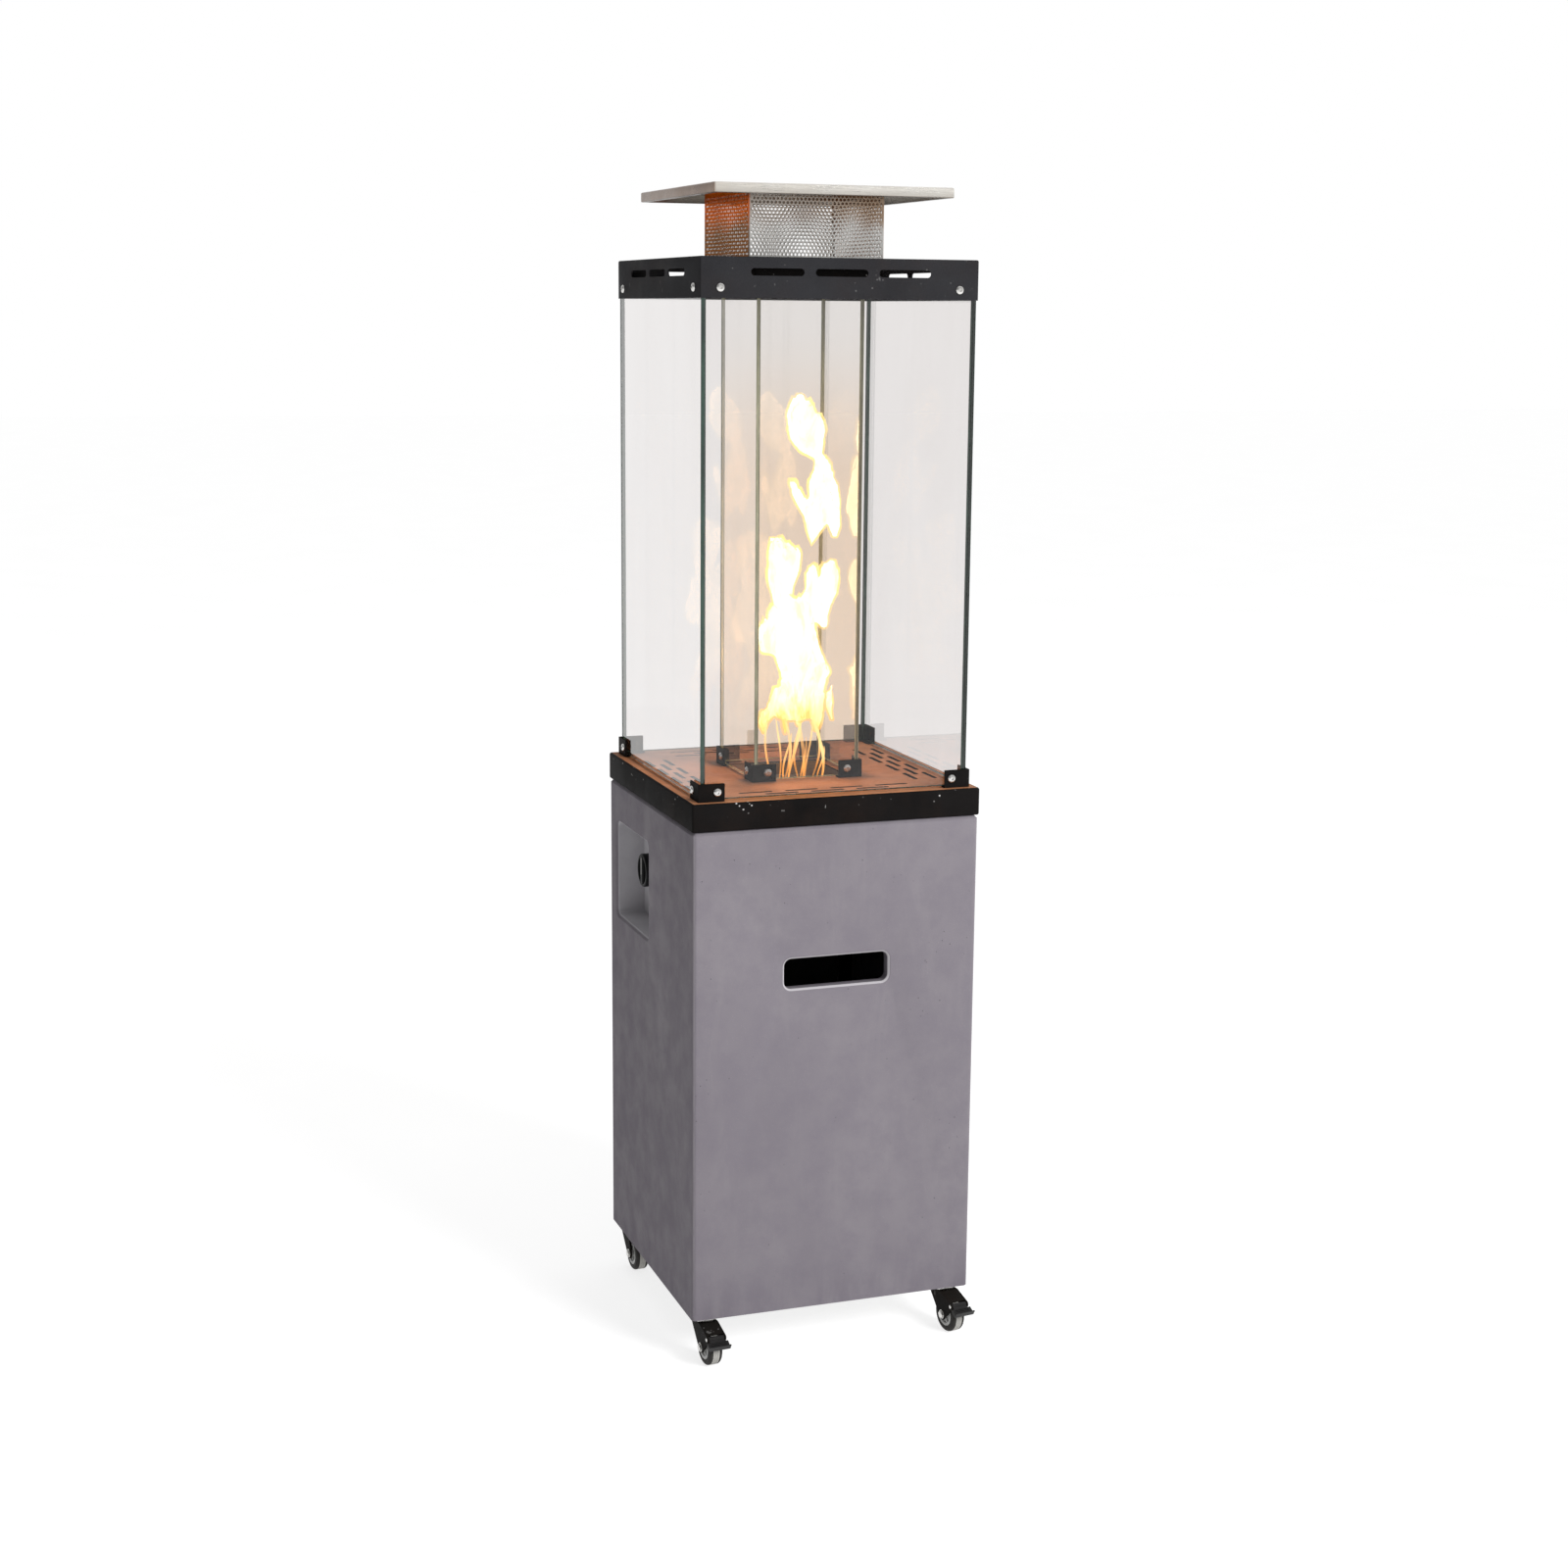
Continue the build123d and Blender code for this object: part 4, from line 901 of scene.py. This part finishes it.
wheel_radius, tyre_width, tyre_shoulder, tread_half = 25, 19, 4, 4.6
hub_radius, hub_width = 17, 21
fork_gap, fork_sheet, fork_bite = 22, 2.5, 0.2
crown_low, crown_high, crown_length = 52.5, 56.5, 34
axle_boss, axle_radius, pedal_boss = 8, 2.95, 4.5
hood_sheet, hood_drop, hood_tuck = 1.6, 1.3, 0.8
pedal_slope, pedal_reach, pedal_sheet, pedal_lip, pedal_width = 30, 17, 3, 5, 30
pedal_tread = pedal_reach - pedal_boss - 2
fork_inner, fork_outer = fork_gap / 2, fork_gap / 2 + fork_sheet
barrel = fork_inner - 0.3
hub_face, tyre_face = hub_width / 2, tyre_width / 2

# Turned profiles: (radius, height)
bolt_washer = [(0, 0), (6.2, 0), (6.2, 0.6), (0, 0.6)]
bolt_tip = [(4.4, 2.5), (3.6, 3.2), (0, 3.45)]
rivet_head = [(2.6, -0.2), (2.5, 0.5), (1.6, 1.0), (0, 1.2)]
axle_rod = [(0, -fork_inner), (axle_radius, -fork_inner), (axle_radius, fork_inner), (0, fork_inner)]
hub_profile = [(3.1, hub_face), (5, hub_face), (6, hub_face - 0.6), (6.2, hub_face - 3.2)]
hub_profile += [(12, hub_face - 3.6), (13, hub_face - 1.2), (14, hub_face - 0.9)]
hub_profile += [(hub_radius - 0.7, hub_face - 0.9), (hub_radius - 0.15, hub_face - 1.4)]
tyre_profile = [(hub_radius + 0.02, tyre_face), (wheel_radius - 4.5, tyre_face)]
tyre_profile += bend((wheel_radius - tyre_shoulder, tyre_face - tyre_shoulder), tyre_shoulder, 90, 0, 6)[1:]
tyre_profile += [(wheel_radius, tread_half + 0.3), (wheel_radius - 0.9, tread_half + 0.2)]
groove = wheel_radius - 0.4
tread_profile = [(wheel_radius - 0.85, tread_half), (wheel_radius - 0.3, tread_half)]
tread_profile += [(wheel_radius, tread_half - 0.4), (wheel_radius, 2), (groove, 1.8), (groove, 1.2)]
tread_profile += [(wheel_radius, 1)]
pedal_barrel = [(2.1, -barrel), (3.5, -barrel), (3.5, barrel), (2.1, barrel), (2.1, -barrel)]

# Spokes, and the pedal's arm, tread, lip and ribs as outlines with their half widths
spoke = rounded(8, 2.4, 0.8, 3, (9, 0))
spoke_low, spoke_depth = hub_face - 3.8, 2.2
pedal_plates = [
    (oblong(pedal_reach - 2, pedal_sheet, (pedal_reach / 2 + 1, 0)), barrel),
    (oblong(pedal_tread, pedal_sheet, (pedal_reach - pedal_tread / 2, 0)), pedal_width / 2),
    (oblong(pedal_sheet / 2, pedal_sheet + pedal_lip, (pedal_reach + pedal_sheet / 4, pedal_lip / 2)),
     pedal_width / 2),
]
for rib in range(4):
    rib_at = (pedal_reach - pedal_tread + (rib + 0.7) * pedal_tread / 4.4, pedal_sheet / 2 + 0.25)
    pedal_plates.append((oblong(1.1, 0.9, rib_at), 0.42 * pedal_width))

for corner in CORNERS:
    swivel = joint_at[f"swivel_turn_{corner}"]
    axle = joint_at[f"wheel_spin_{corner}"]
    ahead = Vector((axle.x - swivel.x, axle.y - swivel.y, 0))
    axle_at = (ahead.length / MM, axle.z / MM)
    ahead.normalize()
    aside = ahead.cross(UP)
    stand = moved(*swivel.xy, 0)
    place = stand @ Matrix((ahead, UP, aside)).transposed().to_4x4() @ MILLI
    crown_place = stand @ Matrix((ahead, -aside, UP)).transposed().to_4x4() @ MILLI
    shaft = place @ moved(*axle_at, 0)
    braked = f"brake_press_{corner}" in joint_at
    outline = circle(*axle_at, axle_boss, 40) + rounded(crown_length, 4, 1.5, 4, (0, crown_high - 2))
    if braked:
        pivot = joint_at[f"brake_press_{corner}"]
        pin = ((pivot - swivel).dot(ahead) / MM, pivot.z / MM)
        pin_place = place @ moved(*pin, 0)
        outline += circle(*pin, pedal_boss, 28)

    bm = bmesh.new()
    cheek = hull(outline)
    prism(bm, cheek, fork_inner, fork_outer, place)
    prism(bm, cheek, -fork_outer, -fork_inner, place)
    bridge = oblong(crown_length - 1, fork_gap + 2 * fork_bite)
    prism(bm, bridge, crown_low, crown_high - fork_bite, crown_place)
    if braked:
        to_pin = Vector(pin) - Vector((crown_length / 2, crown_high))
        dip = atan2(-to_pin.y, to_pin.x) - asin(pedal_boss / to_pin.length)
        hood = place @ moved(crown_length / 2, crown_high, 0) @ Matrix.Rotation(-dip, 4, "Z")
        hood_length = to_pin.length - pedal_boss
        plate = oblong(hood_length + hood_tuck, hood_sheet, ((hood_length - hood_tuck) / 2, -hood_drop))
        prism(bm, plate, -fork_inner - fork_bite, fork_inner + fork_bite, hood)
    body = f"swivel_{corner}"
    piece(f"caster_fork_{corner}", bm, "caster_paint", f"fork_{corner}", body=body, edge=0.6 * MM)

    bm = bmesh.new()
    for turn in (pi, 0):
        outside = Matrix.Rotation(turn, 4, "Y") @ moved(0, 0, fork_outer)
        bolt = shaft @ outside
        turned(bm, bolt_washer, bolt, 32)
        prism(bm, circle(0, 0, 5.3, 6), 0.5, 2.6, bolt)
        turned(bm, bolt_tip, bolt, 24)
        if braked:
            turned(bm, rivet_head, pin_place @ outside, 20)
    turned(bm, axle_rod, shaft, 20)
    piece(f"caster_bolts_{corner}", bm, "screw_steel", body=body, sharp=35)

    body = f"wheel_{corner}"
    bm = bmesh.new()
    turned(bm, both_sides(hub_profile), shaft, 48)
    for number in range(6):
        arm = shaft @ Matrix.Rotation(radians(60 * number), 4, "Z")
        for low in (-spoke_low - spoke_depth, spoke_low):
            prism(bm, spoke, low, low + spoke_depth, arm)
    piece(f"caster_hub_{corner}", bm, "hub_plastic", f"hub_{corner}", body=body, sharp=32)
    bm = bmesh.new()
    turned(bm, both_sides(tyre_profile), shaft, 64)
    piece(f"caster_tyre_{corner}", bm, "tread_rubber", f"tyre_{corner}", body=body, sharp=40)
    bm = bmesh.new()
    turned(bm, both_sides(tread_profile), shaft, 64)
    piece(f"caster_tread_{corner}", bm, "tread_band", body=body, slot="tread_rubber", sharp=40)

    if braked:
        tilt = pin_place @ Matrix.Rotation(-radians(pedal_slope), 4, "Z")
        bm = bmesh.new()
        turned(bm, pedal_barrel, tilt, 28)
        for outline, half in pedal_plates:
            prism(bm, outline, -half, half, tilt)
        piece(f"caster_pedal_{corner}", bm, "pedal_plastic", f"brake_pedal_{corner}", body=f"brake_{corner}",
              edge=0.3 * MM)

# Caster mounts, in mm: bearing cup with shank, and kingpin with its head

cup_low, base_foot = crown_high + 0.3, base_low.z / MM
cup_radius, shank_radius, shank_top = 16.9, 4, base_foot + 12.6
kingpin_radius, kingpin_head, head_low, head_top = 4.95, 7.6, crown_low - 2.3, crown_low - 0.3
cup_profile = [(4.9, cup_low), (15.2, cup_low), (16.4, cup_low + 1.2), (cup_radius, cup_low + 3)]
cup_profile += [(cup_radius, base_foot - 1.4), (16.0, base_foot - 0.05), (shank_radius, base_foot - 0.05)]
cup_profile += [(shank_radius, shank_top - 0.6), (3.4, shank_top), (0, shank_top)]
kingpin_profile = [(0, head_low), (7, head_low), (kingpin_head, head_low + 0.8), (kingpin_head, head_top)]
kingpin_profile += [(kingpin_radius, head_top), (kingpin_radius, cup_low)]
bm = bmesh.new()
for corner in CORNERS:
    place = moved(*joint_at[f"swivel_turn_{corner}"].xy, 0) @ MILLI
    turned(bm, cup_profile, place, 40)
    turned(bm, kingpin_profile, place, 32)
piece("caster_mounts", bm, "screw_steel", "caster_stems", sharp=35)

# Flame between the inner panes: white core, yellow fringe and thin orange roots

flame_room = tube_high.x - 7 * MM
flame_floor = tray_high.z + 4 * MM
flame_back, flame_swing, flame_depth, flame_voxel = mm(13, 7, 24, 2.4)
flame_turn = 0.3409
look = Vector((cos(flame_turn), -sin(flame_turn), 0))
deep = Vector((sin(flame_turn), cos(flame_turn), 0))


def tongue(bm, stations, number):
    """One lick of flame: stations are (level, left edge, right edge) in mm, from its tip down."""
    angles = [2 * pi * k / 20 for k in range(20)]
    rings = []
    for level, left, right in stations:
        half = (right - left) / 2 * MM
        swing = flame_back + flame_swing * sin(level / 45 + 1.7 * number)
        middle = look * (left + right) / 2 * MM + deep * swing + Vector((0, 0, level * MM))
        thick = min(0.75 * half + 1.5 * MM, flame_depth)
        rings.append([bm.verts.new(middle + look * half * cos(a) + deep * thick * sin(a)) for a in angles])
    skin(bm, rings)
    bm.faces.new(rings[0])
    bm.faces.new(rings[-1][::-1])


high_lick = (
    (1284, 13, 16), (1271, 1, 19), (1259, -5, 37), (1245, -5, 44), (1232, -4, 45), (1219, 2, 45),
    (1207, 12, 44), (1199, 31, 45), (1190, 31, 51), (1178, 29, 58), (1165, 27, 61), (1150, 26, 64),
    (1136, 23, 67), (1122, 19, 68), (1110, 21, 50), (1098, 24, 41), (1084, 27, 31))
high_prongs = (
    ((1140, 45, 67), (1120, 46, 68), (1106, 53, 67), (1091, 59, 63)),
    ((1160, 1, 4), (1149, 3, 14), (1136, 9, 27), (1122, 17, 36)),
    ((1266, 26, 30), (1257, 22, 36), (1244, 16, 42)))
middle_licks = (
    ((1090, -27, -23), (1078, -28, 2), (1070, -28, 15), (1056, -29, 14), (1042, -29, 11), (1028, -28, 7),
     (1012, -24, 5), (996, -22, 20), (980, -30, 30)),
    ((1050, 28, 31), (1040, 23, 37), (1026, 21, 41), (1010, 16, 41), (992, 12, 44)),
    ((1060, 54, 58), (1046, 45, 65), (1030, 40, 66), (1014, 34, 64), (998, 31, 56), (984, 31, 53),
     (968, 44, 52)))
body_lick = (
    (1004, -5, 30), (988, -22, 34), (976, -29, 34), (962, -41, 37), (948, -43, 41), (935, -41, 44),
    (929, -20, 45), (916, -16, 53), (904, -12, 57), (893, -10, 50), (880, -14, 48), (866, -22, 47),
    (852, -24, 46), (840, -18, 40))
foot_licks = (
    ((882, -16, -10), (862, -28, -10), (846, -37, -18), (834, -42, -28), (820, -36, -33)),
    ((870, -16, 8), (850, -14, 2), (834, -9, -1), (818, -6, -3)),
    ((868, 4, 24), (848, 8, 20), (830, 11, 16)),
    ((872, 24, 48), (852, 28, 48), (838, 32, 46), (822, 36, 40)),
    ((892, 58, 61), (872, 54, 62), (856, 53, 60), (840, 59, 62)))
bm = bmesh.new()
for number, lick in enumerate((high_lick, *high_prongs, *middle_licks, body_lick, *foot_licks)):
    tongue(bm, lick, number // 4)
bmesh.ops.recalc_face_normals(bm, faces=bm.faces)
seed = to_object("flame_seed", bm)
join = seed.modifiers.new("join", "REMESH")
join.mode = "VOXEL"
join.voxel_size = flame_voxel
bpy.context.view_layer.update()
flame = settled_mesh(seed)
bpy.data.objects.remove(seed)


def flame_layer(name, swell, ragged):
    """The flame's skin pushed out by swell and torn by a rising pattern, kept inside the glass."""
    bm = bmesh.new()
    bm.from_mesh(flame)
    bmesh.ops.smooth_vert(bm, verts=bm.verts, factor=0.5, use_axis_x=True, use_axis_y=True, use_axis_z=True)
    bm.normal_update()
    moves = []
    for v in bm.verts:
        torn = noise.fractal(Vector((v.co.x * 60, v.co.y * 60, v.co.z * 26)), 0.9, 2.1, 4) * ragged
        moves.append(v.co + v.normal * (swell + torn) + Vector((0, 0, 1.6 * torn)))
    for v, spot in zip(bm.verts, moves):
        x, y = (max(-flame_room, min(flame_room, s)) for s in spot.xy)
        v.co = (x, y, max(flame_floor, spot.z))
    piece(name, bm, name, slot=None, sharp=180)


flame_layer("flame_core", 0.0, 4 * MM)
flame_layer("flame_fringe", 3.2 * MM, 6 * MM)

# Roots: place across, place in depth, width, height and sway, in mm
roots = (
    (-4, 2, 3.0, 88, 7), (-1, -9, 2.2, 66, -6), (8, 8, 3.2, 100, -8), (14, -6, 2.6, 72, 6),
    (17, 4, 3.4, 96, -5), (21, -2, 2.4, 60, 4), (36, 9, 2.6, 84, 8), (40, -6, 3.2, 94, 9),
    (45, 3, 2.0, 46, -5), (-26, 6, 2.4, 92, 6), (-14, -4, 2.0, 84, -4), (28, -8, 2.2, 90, 5))
root_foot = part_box("burner")[1].z + 1 * MM
root_rings, root_sides = 17, 10
bm = bmesh.new()
for number, (across, depth, width, height, sway) in enumerate(roots):
    rings = []
    for i in range(root_rings):
        t = i / (root_rings - 1)
        wide = width * MM * (0.35 + 1.1 * t) * (1.02 - t) ** 0.5
        middle = look * (across + sway * sin(3.4 * t + number)) * MM + deep * depth * MM
        middle.z = root_foot + t * height * MM
        rings.append([bm.verts.new(middle + look * x + deep * y) for x, y in circle(0, 0, wide, root_sides)])
    skin(bm, rings)
piece("flame_root", bm, "flame_root", slot=None, sharp=180)

# Floor

floor_finish = Finish("studio_floor", roughness=0.8, specular_ior_level=0.0, emission_strength=0.745)
pale, paler = (0.34, 0.34, 0.34), (0.36, 0.36, 0.36)
floor_finish.set("Base Color", floor_finish.ramp(floor_finish.grain(3.0), (0.3, pale), (0.7, paler)))
floor_finish.set("Emission Color", WHITE)
bm = bmesh.new()
bmesh.ops.create_grid(bm, x_segments=8, y_segments=8, size=30.0)
floor = to_object("studio_floor", bm)
floor.data.materials.append(floor_finish.material)

# Light: a world that is dimmer on the left and in front, but white at the horizon and where the camera sees it

world = bpy.data.worlds.new("studio")
scene.world = world
world.use_nodes = True
sky = Nodes(world.node_tree)
aim = sky.add("SeparateXYZ", {"Vector": sky.add("TexCoord", {}).outputs["Generated"]}).outputs
strength = sky.times(sky.span(aim["X"], -0.75, 0.0, 0.32), sky.span(aim["Y"], -0.7, 0.05, 0.57))
strength = sky.calc("MAXIMUM", strength, sky.span(aim["Z"], 0.045, 0.11, 0.97, 0.0))
strength = sky.calc("MAXIMUM", strength, sky.add("LightPath", {}).outputs["Is Camera Ray"])
background = sky.nodes["Background"]
sky.feed(background.inputs["Strength"], strength)
sky.feed(background.inputs["Color"], WHITE)


def lamp(name, kind, place, power, colour, **settings):
    data = bpy.data.lights.new(name, kind)
    data.energy = power
    data.color = colour
    for label, value in settings.items():
        setattr(data, label, value)
    made = bpy.data.objects.new(name, data)
    made.location = place
    made.visible_glossy = False
    scene.collection.objects.link(made)
    return made


key_place, key_target = Vector((1.5, -3.4, 2.5)), Vector((0, 0, 0.7))
key = lamp("key", "AREA", key_place, 215, (1, 1, 1), shape="DISK", size=1.6)
key.rotation_euler = (key_target - key_place).to_track_quat("-Z", "Y").to_euler()
glow_place = (0.01, 0.0, tray_high.z + 0.14)
lamp("flame_glow", "POINT", glow_place, 3.0, (1.0, 0.6, 0.28), shadow_soft_size=0.05)
scene.view_settings.view_transform = "Standard"

# Camera fitted to the photograph

yaw, pitch, roll = 0.340854, 0.191318, -0.008383
film, focal_pixels, image_pixels = 36.0, 2473.19, 1600
camera_data = bpy.data.cameras.new("camera")
camera_data.sensor_width = film
camera_data.lens = film * focal_pixels / image_pixels
forward = Vector((sin(yaw) * cos(pitch), cos(yaw) * cos(pitch), -sin(pitch)))
right = Vector((cos(yaw), -sin(yaw), 0))
down = forward.cross(right)
across = cos(roll) * right + sin(roll) * down
below = cos(roll) * down - sin(roll) * right
camera = bpy.data.objects.new("camera", camera_data)
camera.matrix_world = Matrix((across, -below, -forward)).transposed().to_4x4()
camera.location = (-1.10832, -3.10866, 1.38841)
scene.collection.objects.link(camera)
scene.camera = camera

bpy.context.view_layer.update()
